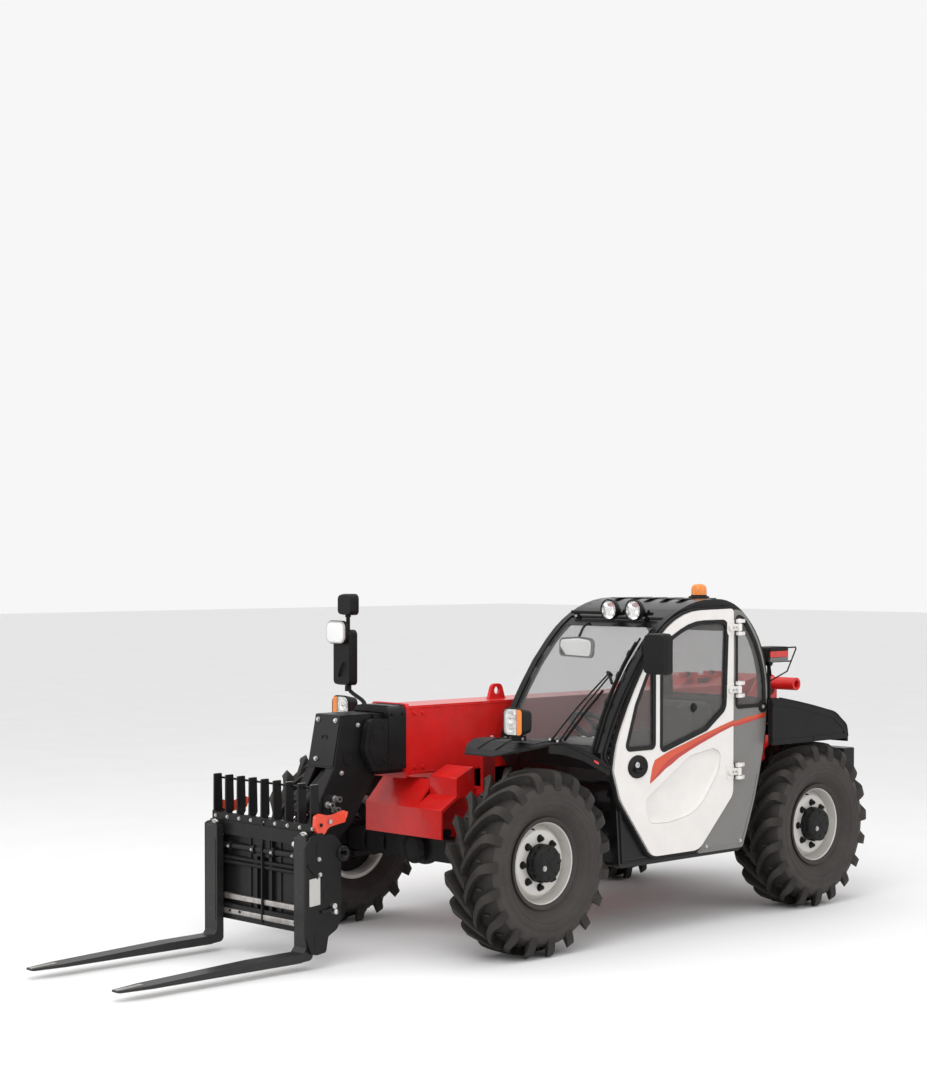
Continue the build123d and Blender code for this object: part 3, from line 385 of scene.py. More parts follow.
class MB:
    """Gathers shells in vehicle millimetres and makes one object."""

    def __init__(s):
        s.v, s.f, s.m = [], [], []
        s.mats = []
        s.T = None

    def mi(s, mat):
        if mat not in s.mats:
            s.mats.append(mat)
        return s.mats.index(mat)

    def add(s, verts, faces, mat):
        n = len(s.v)
        k = s.mi(mat)
        for p in verts:
            p = Vector(p)
            s.v.append(s.T @ p if s.T is not None else p)
        for f in faces:
            s.f.append([n + i for i in f])
            s.m.append(k)

    def box(s, x0, x1, y0, y1, z0, z1, mat, R=None, taper=None):
        c = Vector(((x0 + x1) / 2, (y0 + y1) / 2, (z0 + z1) / 2))
        vs = []
        for z in (z0, z1):
            for x, y in ((x0, y0), (x1, y0), (x1, y1), (x0, y1)):
                p = Vector((x, y, z)) - c
                if taper and z == z1:
                    p.x *= taper; p.y *= taper
                vs.append(c + (R @ p if R is not None else p))
        s.add(vs, [(3, 2, 1, 0), (4, 5, 6, 7), (0, 1, 5, 4), (1, 2, 6, 5), (2, 3, 7, 6), (3, 0, 4, 7)], mat)

    def prism(s, plane, pts, a0, a1, mat, holes=(), seg=6, mat2=None, top=None):
        """Outline pulled along the third axis. plane is xz, yz or xy; top moves the a1 outline."""
        loops = [rounded(pts, seg)] + [rounded(h, seg) for h in holes]
        if area2(loops[0]) < 0:
            loops[0] = loops[0][::-1]
        for i in range(1, len(loops)):
            if area2(loops[i]) > 0:
                loops[i] = loops[i][::-1]
        def p3(q, a):
            return {"xz": (q[0], a, q[1]), "yz": (a, q[0], q[1]), "xy": (q[0], q[1], a)}[plane]
        flat = [q for l in loops for q in l]
        tris = tessellate_polygon([[Vector((q[0], q[1], 0)) for q in l] for l in loops])
        n = len(flat)
        hi = [top(q) if top else q for q in flat]
        vs = [p3(q, a0) for q in flat] + [p3(q, a1) for q in hi]
        fs = []
        # orientation: xz plane with +y third axis is left handed
        flip = plane == "xz"
        for t in tris:
            a, b, c = t
            ar = (flat[b][0] - flat[a][0]) * (flat[c][1] - flat[a][1]) - (flat[c][0] - flat[a][0]) * (flat[b][1] - flat[a][1])
            if abs(ar) < 1e-9:
                continue
            if ar < 0:
                a, b, c = a, c, b
            if not flip:
                fs.append((c, b, a)); fs.append((a + n, b + n, c + n))
            else:
                fs.append((a, b, c)); fs.append((c + n, b + n, a + n))
        if a1 < a0:
            fs = [f[::-1] for f in fs]
        s.add(vs, fs, mat)
        base = len(s.v) - 2 * n
        k = s.mi(mat2 or mat)
        o = 0
        for l in loops:
            m = len(l)
            for i in range(m):
                i0, i1 = o + i, o + (i + 1) % m
                q = [i0, i1, i1 + n, i0 + n]
                if flip:
                    q = q[::-1]
                if a1 < a0:
                    q = q[::-1]
                s.f.append([base + j for j in q]); s.m.append(k)
            o += m

    def cyl(s, a, b, r, mat, r2=None, seg=32, caps=True, inner=None):
        a, b = Vector(a), Vector(b)
        d = (b - a).normalized()
        u = d.orthogonal().normalized()
        if abs(d.z) < 0.9:
            u = (Vector((0, 0, 1)) - d * d.z).normalized()
        w = d.cross(u)
        r2 = r if r2 is None else r2
        vs, fs = [], []
        for p, rr in ((a, r), (b, r2)):
            for i in range(seg):
                t = 2 * math.pi * i / seg
                vs.append(p + (u * math.cos(t) + w * math.sin(t)) * rr)
        for i in range(seg):
            j = (i + 1) % seg
            fs.append((i, j, seg + j, seg + i))
        if inner:
            for p, rr in ((a, inner), (b, inner)):
                for i in range(seg):
                    t = 2 * math.pi * i / seg
                    vs.append(p + (u * math.cos(t) + w * math.sin(t)) * rr)
            for i in range(seg):
                j = (i + 1) % seg
                fs.append((2 * seg + j, 2 * seg + i, 3 * seg + i, 3 * seg + j))
                fs.append((j, i, 2 * seg + i, 2 * seg + j))
                fs.append((seg + i, seg + j, 3 * seg + j, 3 * seg + i))
        elif caps:
            fs.append(tuple(range(seg))[::-1])
            fs.append(tuple(range(seg, 2 * seg)))
        s.add(vs, fs, mat)

    def hexbolt(s, p, d, af, h, mat, washer=True, seg=6):
        p, d = Vector(p), Vector(d).normalized()
        if washer:
            s.cyl(p, p + d * h * 0.18, af * 0.72, mat, seg=20)
        s.cyl(p + d * h * 0.18, p + d * h * 0.92, af * 0.577, mat, seg=seg)
        s.cyl(p + d * h * 0.92, p + d * h, af * 0.577, mat, r2=af * 0.44, seg=seg)

    def lathe(s, prof, o, axis, mat, seg=64, mats=None, closed=True):
        """prof is [(radius, height along axis)], closed into a ring or open."""
        o, d = Vector(o), Vector(axis).normalized()
        u = d.orthogonal().normalized()
        if abs(d.z) < 0.9:
            u = (Vector((0, 0, 1)) - d * d.z).normalized()
        w = d.cross(u)
        n = len(prof)
        vs = []
        for i in range(seg):
            t = 2 * math.pi * i / seg
            e = u * math.cos(t) + w * math.sin(t)
            for r, h in prof:
                vs.append(o + e * r + d * h)
        base = len(s.v)
        for p in vs:
            s.v.append(s.T @ p if s.T is not None else p)
        kk = [s.mi(x) for x in (mats or [mat])]
        m = n if closed else n - 1
        for i in range(seg):
            for j in range(m):
                a, b = i * n + j, i * n + (j + 1) % n
                c, e = ((i + 1) % seg) * n + (j + 1) % n, ((i + 1) % seg) * n + j
                q = [a, b, c, e]
                s.f.append([base + t for t in q[::-1]])
                s.m.append(kk[j % len(kk)] if mats else kk[0])

    def sphere(s, c, r, mat, seg=24, rings=12, sc=(1, 1, 1)):
        vs, fs = [], []
        c = Vector(c)
        vs.append(c + Vector((0, 0, r * sc[2])))
        for i in range(1, rings):
            t = math.pi * i / rings
            for j in range(seg):
                p = 2 * math.pi * j / seg
                vs.append(c + Vector((r * math.sin(t) * math.cos(p) * sc[0], r * math.sin(t) * math.sin(p) * sc[1], r * math.cos(t) * sc[2])))
        vs.append(c - Vector((0, 0, r * sc[2])))
        for j in range(seg):
            fs.append((0, 1 + j, 1 + (j + 1) % seg))
            fs.append((len(vs) - 1, 1 + (rings - 2) * seg + (j + 1) % seg, 1 + (rings - 2) * seg + j))
        for i in range(rings - 2):
            for j in range(seg):
                a = 1 + i * seg + j
                b = 1 + i * seg + (j + 1) % seg
                fs.append((a, a + seg, b + seg, b))
        s.add(vs, fs, mat)

    def tube(s, pts, r, mat, seg=12, smooth=5, closed=False, flat=None):
        """Bar along a path; bends are rounded with a Catmull-Rom curve. flat = (width, thickness, up) makes a flat strip."""
        P = [Vector(p) for p in pts]
        path = []
        n = len(P)
        if smooth and n > 2:
            rng = n if closed else n - 1
            for i in range(rng):
                p0 = P[i - 1] if (closed or i > 0) else P[0] * 2 - P[1]
                p1, p2 = P[i], P[(i + 1) % n]
                p3 = P[(i + 2) % n] if (closed or i + 2 < n) else P[-1] * 2 - P[-2]
                for j in range(smooth):
                    t = j / smooth
                    path.append(0.5 * ((2 * p1) + (p2 - p0) * t + (2 * p0 - 5 * p1 + 4 * p2 - p3) * t * t + (3 * p1 - p0 - 3 * p2 + p3) * t ** 3))
            if not closed:
                path.append(P[-1])
        else:
            path = P
        m = len(path)
        if flat:
            w2, t2, up = flat[0] / 2, flat[1] / 2, Vector(flat[2]).normalized()
            shape = [(-w2, -t2), (w2, -t2), (w2, t2), (-w2, t2)]
            seg = 4
        else:
            shape = [(r * math.cos(2 * math.pi * i / seg), r * math.sin(2 * math.pi * i / seg)) for i in range(seg)]
        vs, fs = [], []
        prev = None
        for i, p in enumerate(path):
            d = (path[(i + 1) % m] - path[i - 1]) if (closed or 0 < i < m - 1) else (path[1] - path[0] if i == 0 else path[-1] - path[-2])
            d.normalize()
            if flat:
                w = d.cross(up).normalized()
                u = w.cross(d)
                a, b = w, u
            else:
                a = prev - d * prev.dot(d) if prev is not None else d.orthogonal()
                a.normalize()
                b = d.cross(a)
                prev = a
            for q in shape:
                vs.append(p + a * q[0] + b * q[1])
        rng = m if closed else m - 1
        for i in range(rng):
            for j in range(seg):
                k = (j + 1) % seg
                i2 = (i + 1) % m
                fs.append((i * seg + j, i * seg + k, i2 * seg + k, i2 * seg + j))
        if not closed:
            fs.append(tuple(range(seg))[::-1])
            fs.append(tuple(range((m - 1) * seg, m * seg)))
        s.add(vs, fs, mat)

    def make(s, name, body, bevel=1.2, seg=2, slot=None, replaces=(), angle=35, subsurf=0, weld=True, mirror_y=None, beauty=False):
        me = bpy.data.meshes.new(name)
        me.from_pydata([W(p) for p in s.v], [], s.f)
        for i, m in enumerate(s.mats):
            me.materials.append(m)
        me.polygons.foreach_set("material_index", s.m)
        me.update()
        bm = bmesh.new()
        bm.from_mesh(me)
        bmesh.ops.remove_doubles(bm, verts=bm.verts, dist=1e-6)
        bmesh.ops.recalc_face_normals(bm, faces=bm.faces)
        if beauty:
            flat = [e for e in bm.edges if len(e.link_faces) == 2 and e.calc_face_angle(1.0) < 0.002 and all(len(f.verts) == 3 for f in e.link_faces)]
            bmesh.ops.beautify_fill(bm, faces=[f for f in bm.faces if len(f.verts) == 3], edges=flat)
        bm.to_mesh(me)
        bm.free()
        me.polygons.foreach_set("use_smooth", [True] * len(me.polygons))
        me.set_sharp_from_angle(angle=math.radians(angle))
        o = bpy.data.objects.new(name, me)
        COL.objects.link(o)
        if subsurf:
            md = o.modifiers.new("sub", "SUBSURF")
            md.levels = md.render_levels = subsurf
        if bevel:
            md = o.modifiers.new("bevel", "BEVEL")
            md.width = bevel / 1000
            md.segments = seg
            md.limit_method = "ANGLE"
            md.angle_limit = math.radians(angle)
            md.harden_normals = True
            md.use_clamp_overlap = True
        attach(o, body)
        for r in replaces:
            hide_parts(r)
        return o


def dress(node, mat, bevel=2.0, angle=32, slot=None):
    """Gives a CAD node its finish and softened edges."""
    o = NODES[node]
    o.data.materials.clear()
    o.data.materials.append(mat)
    if bevel:
        w = o.modifiers.new("weld", "WELD")
        w.merge_threshold = 0.00002
        md = o.modifiers.new("bevel", "BEVEL")
        md.width = bevel / 1000
        md.segments = 2
        md.limit_method = "ANGLE"
        md.angle_limit = math.radians(angle)
        md.harden_normals = True
    return o


# ---------------------------------------------------------------- wheels
WB = 2300.0
AZ = 462.0


def tyre_mesh(name, wx, s, body):
    """Carcass of revolution with two rows of curved chevron bars that wrap over the shoulder. s = +1 on the left."""
    o = Vector((wx, s * 743.0, AZ))
    b = MB()
    # profile: (radius, offset from the middle plane), outer side first
    half = [(227, 111), (244, 111), (254, 118), (262, 125), (272, 134), (296, 154), (318, 158.5), (340, 160.5), (347, 158), (352, 158), (357, 160.5),
            (384, 157), (406, 146), (422, 126), (432, 98), (436, 50), (438, 0)]
    prof = [(r, h) for r, h in half] + [(r, -h) for r, h in half[::-1][1:]]
    wall = [M_WALL if (prof[i][0] + prof[(i + 1) % len(prof)][0]) / 2 < 412 else M_TYRE for i in range(len(prof))]
    b.lathe([(r, h) for r, h in prof], o, (0, 1, 0), M_TYRE, seg=120, closed=True, mats=wall)
    # bars: stations along the bar (offset from middle plane, radius of crest, radius of base, angle in degrees, half width in mm along the circumference)
    st = [(-9, 481, 430, 0.0, 21.5), (12, 484, 430, 4.2, 21.5), (40, 484.6, 430, 9.8, 21), (70, 484.4, 430, 14.8, 21), (98, 483.5, 426, 18.4, 21.5), (121, 481.5, 418, 20.6, 22.5),
          (139, 470, 408, 21.6, 24), (149.5, 455, 396, 22.0, 26), (155.5, 430, 384, 22.2, 27.5), (159.0, 404, 372, 22.3, 28.5), (160.8, 380, 366, 22.3, 29)]
    nl = 19
    for side in (1, -1):
        for i in range(nl):
            th0 = 360.0 / nl * (i + (0.0 if side > 0 else 0.5)) + (4 if wx else 0)
            vs, fs = [], []
            for (h, rc, rb, dth, hw) in st:
                for rr, wk, dh in ((rb, 1.32, -0.0), (rc, 1.0, 0.0)):
                    hh = h if rr == rc else (h - 16 if h > 130 else h)
                    for sg in (-1, 1):
                        th = math.radians(th0 + dth) + sg * hw * wk / 465.0
                        vs.append(Vector((rr * math.cos(th), side * hh, rr * math.sin(th))) + o)
            n = len(st)
            for k in range(n - 1):
                a = 4 * k
                c = a + 4
                fs += [(a + 2, a + 3, c + 3, c + 2), (a, a + 2, c + 2, c), (a + 3, a + 1, c + 1, c + 3), (a + 1, a, c, c + 1)]
            fs += [(0, 1, 3, 2), (4 * n - 4, 4 * n - 2, 4 * n - 1, 4 * n - 3)]
            b.add(vs, fs, M_TYRE)
    # raised rings on the outer wall and small wear marks between the bars
    for r0, r1 in ((331, 336), (300, 303)):
        for sd in (1, -1):
            b.lathe([(r0, sd * 150), (r0, sd * (r0 * 0.14 + 114.4)), (r1, sd * (r0 * 0.14 + 114.9)), (r1, sd * 150)], o, (0, 1, 0), M_WALL, seg=96)
    for i in range(nl):
        for side in (1, -1):
            th = math.radians(360.0 / nl * (i + (0.62 if side > 0 else 0.12)) + 14)
            R = Matrix.Rotation(-th, 3, "Y")
            c = o + Vector((437 * math.cos(th), side * 74, 437 * math.sin(th)))
            b.box(c.x - 5, c.x + 5, c.y - 17, c.y + 17, c.z - 7, c.z + 7, M_TYRE, R=R)
    return b.make(name, body, bevel=2.6, seg=2, slot="rubber", replaces=(name.replace("mesh_", ""),), angle=38)


def rim_mesh(name, wx, s, body):
    o = Vector((wx, s * 743.0, AZ))
    b = MB()
    ax = (0, s, 0)
    disc = [(99, 66), (99, 79), (152, 80), (168, 76), (182, 62), (195, 44), (201, 60), (204, 96), (207, 106), (212, 110), (218, 117), (230, 123), (238, 122), (240, 117), (238, 113), (230, 108), (225, 94),
            (221, 78), (218, 52), (218, -100), (224, -110), (239, -114), (240, -120), (233, -122), (220, -120), (211, -112), (204, -96), (203, 20), (194, 34), (178, 52), (164, 66)]
    edge = [M_WALL if (disc[i][0] > 211.5 and disc[(i + 1) % len(disc)][0] > 211.5 and disc[i][1] > 90) else M_RIM for i in range(len(disc))]
    b.lathe(disc, o, ax, M_RIM, seg=96, mats=edge)
    # hub: planetary end with a flat, ribbed cover, and its nut flange
    for i in range(8):
        t = math.radians(45 * i)
        p = o + Vector((126 * math.cos(t), s * 78, 126 * math.sin(t)))
        d = Vector((0, s, 0))
        b.cyl(p, p + d * 3, 21, M_AXLE, seg=24)
        b.cyl(p + d * 3, p + d * 8, 17, M_AXLE, r2=14.5, seg=24)
        b.cyl(p + d * 8, p + d * 21, 13.8, M_AXLE, seg=6)
        b.cyl(p + d * 21, p + d * 23.5, 13.8, M_AXLE, r2=10.5, seg=6)
        b.cyl(p + d * 21, p + d * 29, 7.5, M_AXLE, seg=16)
    hub = [(0, 20), (97, 20), (97, 84), (99.5, 88), (99.5, 104), (96, 108), (96, 134), (90, 143), (82, 147), (58, 147.5), (56, 149.5), (30, 149.8), (0, 149.8)]
    b.lathe(hub, o, ax, M_AXLE, seg=72, closed=False)
    for i in range(8):
        t = math.radians(45 * i + 22.5)
        c = o + Vector((98 * math.cos(t), s * 122, 98 * math.sin(t)))
        b.box(c.x - 4, c.x + 4, c.y - 12, c.y + 12, c.z - 9, c.z + 9, M_AXLE, R=Matrix.Rotation(-t, 3, "Y"))
        q = o + Vector((73 * math.cos(t + 0.39), s * 147, 73 * math.sin(t + 0.39)))
        b.hexbolt(q, (0, s, 0), 12, 3.6, M_AXLE, washer=False)
    for t in (0.6, 0.6 + math.pi / 2):
        b.box(o.x - 48, o.x + 48, *sorted((o.y + s * 149.2, o.y + s * 151)), o.z - 2, o.z + 2, M_AXLE, R=Matrix.Rotation(t, 3, "Y"))
    # filler plugs on the hub
    b.hexbolt(o + Vector((34, s * 149, -20)), (0, s, 0), 20, 5.2, M_ZINC)
    # valve through the outer barrel
    t = math.radians(68)
    p = o + Vector((199 * math.cos(t), s * 84, 199 * math.sin(t)))
    b.cyl(p, p + Vector((-6 * math.cos(t), s * 30, -6 * math.sin(t))), 5.5, M_RUBSEAL, r2=4.2, seg=14)
    b.cyl(p + Vector((-6 * math.cos(t), s * 30, -6 * math.sin(t))), p + Vector((-8 * math.cos(t), s * 38, -8 * math.sin(t))), 4.6, M_STEEL, seg=12)
    # the brake side: drum ring seen from inside
    b.lathe([(206, -60), (206, -40), (150, -34), (150, -46)], o, ax, M_AXLE, seg=64)
    return b.make(name, body, bevel=1.4, seg=2, slot="rim_silver", replaces=(name.replace("mesh_", ""),), angle=30)


for nm, wx, s in (("front_left", 0.0, 1), ("front_right", 0.0, -1), ("rear_left", -WB, 1), ("rear_right", -WB, -1)):
    tyre_mesh("mesh_tyre_" + nm, wx, s, "wheel_" + nm)
    rim_mesh("mesh_rim_" + nm, wx, s, "wheel_" + nm)
    dress("knuckle_" + nm, M_AXLE, 4)

# ---------------------------------------------------------------- plain CAD nodes that keep their shape
for n_, m_, bv in (("front_axle", M_AXLE, 6), ("rear_axle", M_AXLE, 6), ("main_frame", M_RED, 2.5), ("nose_cover", M_RED, 4), ("boom_outer", M_RED, 5), ("boom_inner", M_RED, 4),
                   ("boom_head", M_BLACK, 3), ("hose_cover", M_BLACK, 5), ("carriage", M_BLACK, 2.5), ("backrest", M_BLACK, 1.5), ("fork_left", M_FORK, 3), ("fork_right", M_FORK, 3),
                   ("lift_barrel", M_BLACK, 2), ("lift_rod", M_CHROME, 1), ("tilt_barrel", M_BLACK, 2), ("tilt_rod", M_CHROME, 1),
                   ("engine_block", M_AXLE, 6), ("engine_tray", M_BLACK, 2), ("engine_hood", M_RED, 6), ("counterweight", M_BLACK, 8), ("tow_hitch", M_BLACK, 3),
                   ("cab_tub", M_CABBLK, 3),
                   ("windscreen", M_GLASS, 0), ("rear_glass", M_GLASS_DK, 0), ("right_glass", M_GLASS_DK, 0), ("door_glass", M_GLASS_DK, 0), ("right_wall", M_LINING, 2),
                   ("quarter_glass", M_GLASS_DK, 0), ("front_fenders", M_PLASTIC, 4), ("rear_fender", M_PLASTIC, 4), ("hood_fender", M_PLASTIC, 4),
                   ("seat_base", M_SEATPL, 6), ("seat_cushion", M_FABRIC, 10), ("seat_back", M_FABRIC, 10), ("console", M_PLASTIC, 6), ("steering_wheel", M_PLASTIC, 2),
                   ("roof_lights", M_PLASTIC, 2), ("beacon", M_AMBER, 3), ("headlights", M_PLASTIC, 4), ("mirror_left", M_PLASTIC, 4), ("mirror_right", M_PLASTIC, 4), ("rear_light", M_PLASTIC, 3)):
    dress(n_, m_, bv)

# ---------------------------------------------------------------- cab
CAB = [(-600, 370, 30), (-565, 830, 40), (-455, 960, 30), (-455, 1000, 20), (-540, 1190, -1), (-720, 1460, -1), (-960, 1690, -1), (-1230, 1800, -1),
       (-1560, 1800, -1), (-1790, 1600, -1), (-1880, 1350, -1), (-1870, 1050, -1), (-1760, 640, -1), (-1620, 370, 30)]
DOOR = [(-830, 415, 90), (-1225, 415, 120), (-1520, 700, 80), (-1520, 1745, 25), (-1130, 1738, -1), (-925, 1640, -1),
        (-770, 1440, -1), (-640, 1235, -1), (-545, 1040, -1), (-520, 900, 60), (-575, 740, 150)]
WIN_A = [(-620, 1010, 20), (-840, 1010, 20), (-840, 1475, 10), (-790, 1400, 60), (-700, 1240, 100)]
WIN_B = [(-905, 985, 20), (-1280, 1085, 60), (-1440, 1190, 60), (-1460, 1670, 40), (-1160, 1670, -1), (-965, 1580, -1), (-905, 1510, 30)]
QUARTER = [(-1536, 704, 8), (-1536, 1742, 20), (-1620, 1730, -1), (-1760, 1580, -1), (-1845, 1340, -1), (-1835, 1050, -1), (-1735, 660, -1), (-1622, 392, 24), (-1214, 392, 12)]
QWIN = [(-1566, 1190, 20), (-1566, 1700, 15), (-1622, 1685, -1), (-1738, 1550, -1), (-1812, 1345, -1), (-1812, 1192, 30)]
CAPS = [(-770, 728, 45), (-800, 596, 60), (-960, 588, 120), (-1215, 622, -1), (-1400, 850, -1), (-1408, 945, 36), (-1340, 972, 30), (-1140, 942, 90)]


def inset(pts, d):
    """The same outline moved inwards (for an outline that runs counter-clockwise)."""
    n = len(pts)
    out = []
    for i, p in enumerate(pts):
        v = np.array(p[:2], float)
        a = v - np.array(pts[i - 1][:2], float)
        b = np.array(pts[(i + 1) % n][:2], float) - v
        a /= np.linalg.norm(a); b /= np.linalg.norm(b)
        na, nb = np.array((a[1], -a[0])), np.array((b[1], -b[0]))
        q = v - (na + nb) * d / max(1e-6, 1 + float(na @ nb))
        r = p[2] if len(p) > 2 else 0
        out.append((float(q[0]), float(q[1]), -1 if r < 0 else max(2.0, r - d)))
    return out


CAB_O = rounded(CAB, 10)


def cab_x(z, front=True):
    """x of the cab's outline at height z, on its front or its back side."""
    best = None
    n = len(CAB_O)
    for i in range(n):
        (x0, z0), (x1, z1) = CAB_O[i - 1], CAB_O[i]
        if min(z0, z1) <= z <= max(z0, z1) and abs(z1 - z0) > 1e-6:
            x = x0 + (x1 - x0) * (z - z0) / (z1 - z0)
            if best is None or (x > best if front else x < best):
                best = x
    return best


def on_screen(y, z, off=14.0):
    """A point off the windscreen, off mm in front of it."""
    x0, x1 = cab_x(z - 10), cab_x(z + 10)
    t = Vector((x1 - x0, 20)).normalized()
    return Vector((cab_x(z) + t[1] * off, y, z - t[0] * off))


def dish(b, plane, pts, a_out, a_in, k, mat, seg=8, mat_floor=None):
    """A shallow tray let into a skin: sloping wall from the outline at a_out to a smaller one at a_in, and its floor."""
    o = rounded(pts, seg)
    if area2(o) < 0:
        o = o[::-1]
    i = offset(o, -k)
    i = [(float(p[0]), float(p[1])) for p in (offset(o, k) if abs(area2(offset(o, k))) < abs(area2(offset(o, -k))) else i)]
    j = [((p[0] + q[0]) / 2, (p[1] + q[1]) / 2) for p, q in zip(o, i)]
    p3 = {"xz": lambda q, a: (q[0], a, q[1]), "yz": lambda q, a: (a, q[0], q[1]), "xy": lambda q, a: (q[0], q[1], a)}[plane]
    am = a_out + (a_in - a_out) * 0.62
    n = len(o)
    vs = [p3(q, a_out) for q in o] + [p3(q, am) for q in j] + [p3(q, a_in) for q in i]
    fs = []
    for r in (0, n):
        for t in range(n):
            u = (t + 1) % n
            fs.append((r + t, r + u, r + n + u, r + n + t))
    b.add(vs, fs, mat)
    tris = tessellate_polygon([[Vector((q[0], q[1], 0)) for q in i]])
    b.add([p3(q, a_in) for q in i], [tuple(t) for t in tris], mat_floor or mat)


def band(b, pts, w, y0, y1, mat, inward=True, seg=8):
    """A ring of rubber or metal that follows an outline, w wide."""
    o = rounded(pts, seg)
    if area2(o) < 0:
        o = o[::-1]
    c1, c2 = offset(o, w), offset(o, -w)
    small, large = (c1, c2) if abs(area2(c1)) < abs(area2(c2)) else (c2, c1)
    i = small if inward else large
    if inward:
        b.prism("xz", [(p[0], p[1]) for p in o], y0, y1, mat, holes=[[(p[0], p[1]) for p in i]])
    else:
        b.prism("xz", [(p[0], p[1]) for p in i], y0, y1, mat, holes=[[(p[0], p[1]) for p in o]])


# door: outer skin, pressed panel, lining, seals, hinge leaves, lock
b = MB()
b.prism("xz", DOOR, 847.2, 864.6, M_WHITE, holes=[WIN_A, WIN_B, CAPS], seg=9)
b.prism("xz", inset(DOOR, 8), 838.4, 846.8, M_LINING, holes=[WIN_A, WIN_B], seg=8)
b.make("mesh_door_skin", "door", bevel=3.2, seg=3, slot="door_white", replaces=("cab_door",), angle=30, beauty=True)
b = MB()
dish(b, "xz", offset(rounded(CAPS, 9), 1.5) if area2(offset(rounded(CAPS, 9), 1.5)) > area2(rounded(CAPS, 9)) else offset(rounded(CAPS, 9), -1.5), 862.0, 847.4, 17, M_WHITE, seg=10)
b.make("mesh_door_panel", "door", bevel=0, slot="door_white", angle=55)
b = MB()
for w_ in (WIN_A, WIN_B):
    band(b, w_, 15, 862.5, 867.2, M_RUBSEAL, inward=False)
    band(b, w_, 9, 843, 866.2, M_RUBSEAL)
b.make("mesh_door_seals", "door", bevel=1.6, seg=2, slot="black_plastic")
b = MB()
for hz in (1640, 1290, 830):
    b.prism("xz", [(-1538, hz - 19, 5), (-1476, hz - 19, 8), (-1464, hz - 8, 6), (-1464, hz + 8, 6), (-1476, hz + 19, 8), (-1538, hz + 19, 5)], 865, 884, M_WHITE)
    b.prism("xz", [(-1524, hz - 12, 4), (-1482, hz - 12, 4), (-1482, hz + 12, 4), (-1524, hz + 12, 4)], 884, 890, M_WHITE)
    b.prism("xz", [(-1519, hz - 42, 7), (-1466, hz - 42, 9), (-1458, hz - 26, 9), (-1458, hz + 26, 9), (-1466, hz + 42, 9), (-1519, hz + 42, 7)], 864.4, 869, M_WHITE)
    b.cyl((-1545, 884, hz - 19.5), (-1545, 884, hz + 19.5), 15.6, M_WHITE, seg=32, inner=8.2)
    for dx in (-1490, -1514):
        b.hexbolt((dx, 890, hz), (0, 1, 0), 11, 6, M_ZINC)
# lock cylinder in its round black cup, finger plate
b.T = Matrix.Translation((-709, 0, 911)) @ Matrix.Diagonal((1.33, 1, 1.05, 1)) @ Matrix.Translation((709, 0, -911))
b.lathe([(0, 867.5), (20, 867.7), (36, 869), (46, 872), (53, 874), (57.5, 872), (59.5, 866), (59, 863.2)], (-709, 0, 911), (0, 1, 0), M_PLASTIC, seg=56, closed=False)
b.T = None
b.lathe([(0, 876.4), (9, 876.6), (14.5, 875.5), (17, 873), (17.5, 866)], (-700, 0, 921), (0, 1, 0), M_STEEL, seg=32, closed=False)
b.box(-701.5, -698.5, 876.2, 877.0, 915, 927, M_RUBSEAL)
# knob that holds the door glass
b.lathe([(0, 12), (12, 12), (19, 10), (21, 6), (19, 3), (24, 2.4), (26, 0.2)], (-1184, 853.8, 1204), (0, 1, 0), M_PLASTIC, seg=40, closed=False)
b.prism("xz", [(-745, 893, 10), (-722, 881, 10), (-688, 884, 10), (-671, 898, 10), (-676, 905, 4), (-692, 896, 10), (-722, 893, 10), (-740, 903, 4)], 869, 881, M_PLASTIC)
b.make("mesh_door_fittings", "door", bevel=1.6, seg=2, slot="black_plastic", angle=28)
# the two-tone flash: on the door and on the fixed panel behind it
S_UP = [(-810, 826), (-828, 900), (-850, 938), (-972, 980), (-1100, 1013), (-1225, 1046), (-1400, 1090), (-1519, 1118)]
S_MID = [(-1519, 1100), (-1400, 1072), (-1225, 1022), (-1100, 982), (-1000, 948), (-950, 924), (-905, 895), (-868, 862), (-812, 812)]
S_LOW = [(-1519, 1086), (-1400, 1054), (-1225, 1000), (-1130, 968), (-1050, 938), (-985, 904), (-940, 886), (-880, 850), (-812, 812)]
b = MB()
b.prism("xz", S_UP + S_MID, 864.4, 865.5, M_STRIPE)
b.prism("xz", [(p[0], p[1] - 0.6) for p in S_MID[::-1]][::1] + S_LOW[:-1], 864.4, 865.3, M_STRIPE2)
b.make("mesh_door_flash", "door", bevel=0, slot="body_red")

# fixed rear quarter: panel, window seal, hinge brackets, flash, cap
b = MB()
b.prism("xz", QUARTER, 830.4, 850.6, M_GREY, holes=[QWIN], seg=10)
b.prism("xz", [(-1242, 404, 4), (-1615, 404, 20), (-1722, 655, 60), (-1760, 800), (-1752, 803), (-1713, 660, 60), (-1608, 413, 14), (-1250, 413, 4)], 850, 853.5, M_GREY)
b.hexbolt((-1600, 850.5, 430), (0, 1, 0), 16, 7, M_ZINC)
b.hexbolt((-1300, 850.5, 425), (0, 1, 0), 16, 7, M_ZINC)
for hz in (1640, 1290, 830):
    for z0, z1 in ((hz + 25.3, hz + 44.7), (hz - 44.7, hz - 25.3)):
        b.prism("xy", [(-1604, 851, 4), (-1560, 851), (-1530, 870, 8), (-1530, 892, 12), (-1552, 900, 8), (-1604, 880, 8)], z0, z1, M_WHITE)
    b.cyl((-1545, 884, hz - 45.5), (-1545, 884, hz + 47), 7.8, M_STEEL, seg=24)
    b.cyl((-1545, 884, hz + 44.8), (-1545, 884, hz + 49), 12.5, M_STEEL, r2=10, seg=24)
b.make("mesh_quarter", "chassis", bevel=2.4, seg=2, slot="panel_grey", replaces=("quarter_panel",), angle=30)
b = MB()
band(b, QWIN, 13, 848, 853.2, M_RUBSEAL, inward=False)
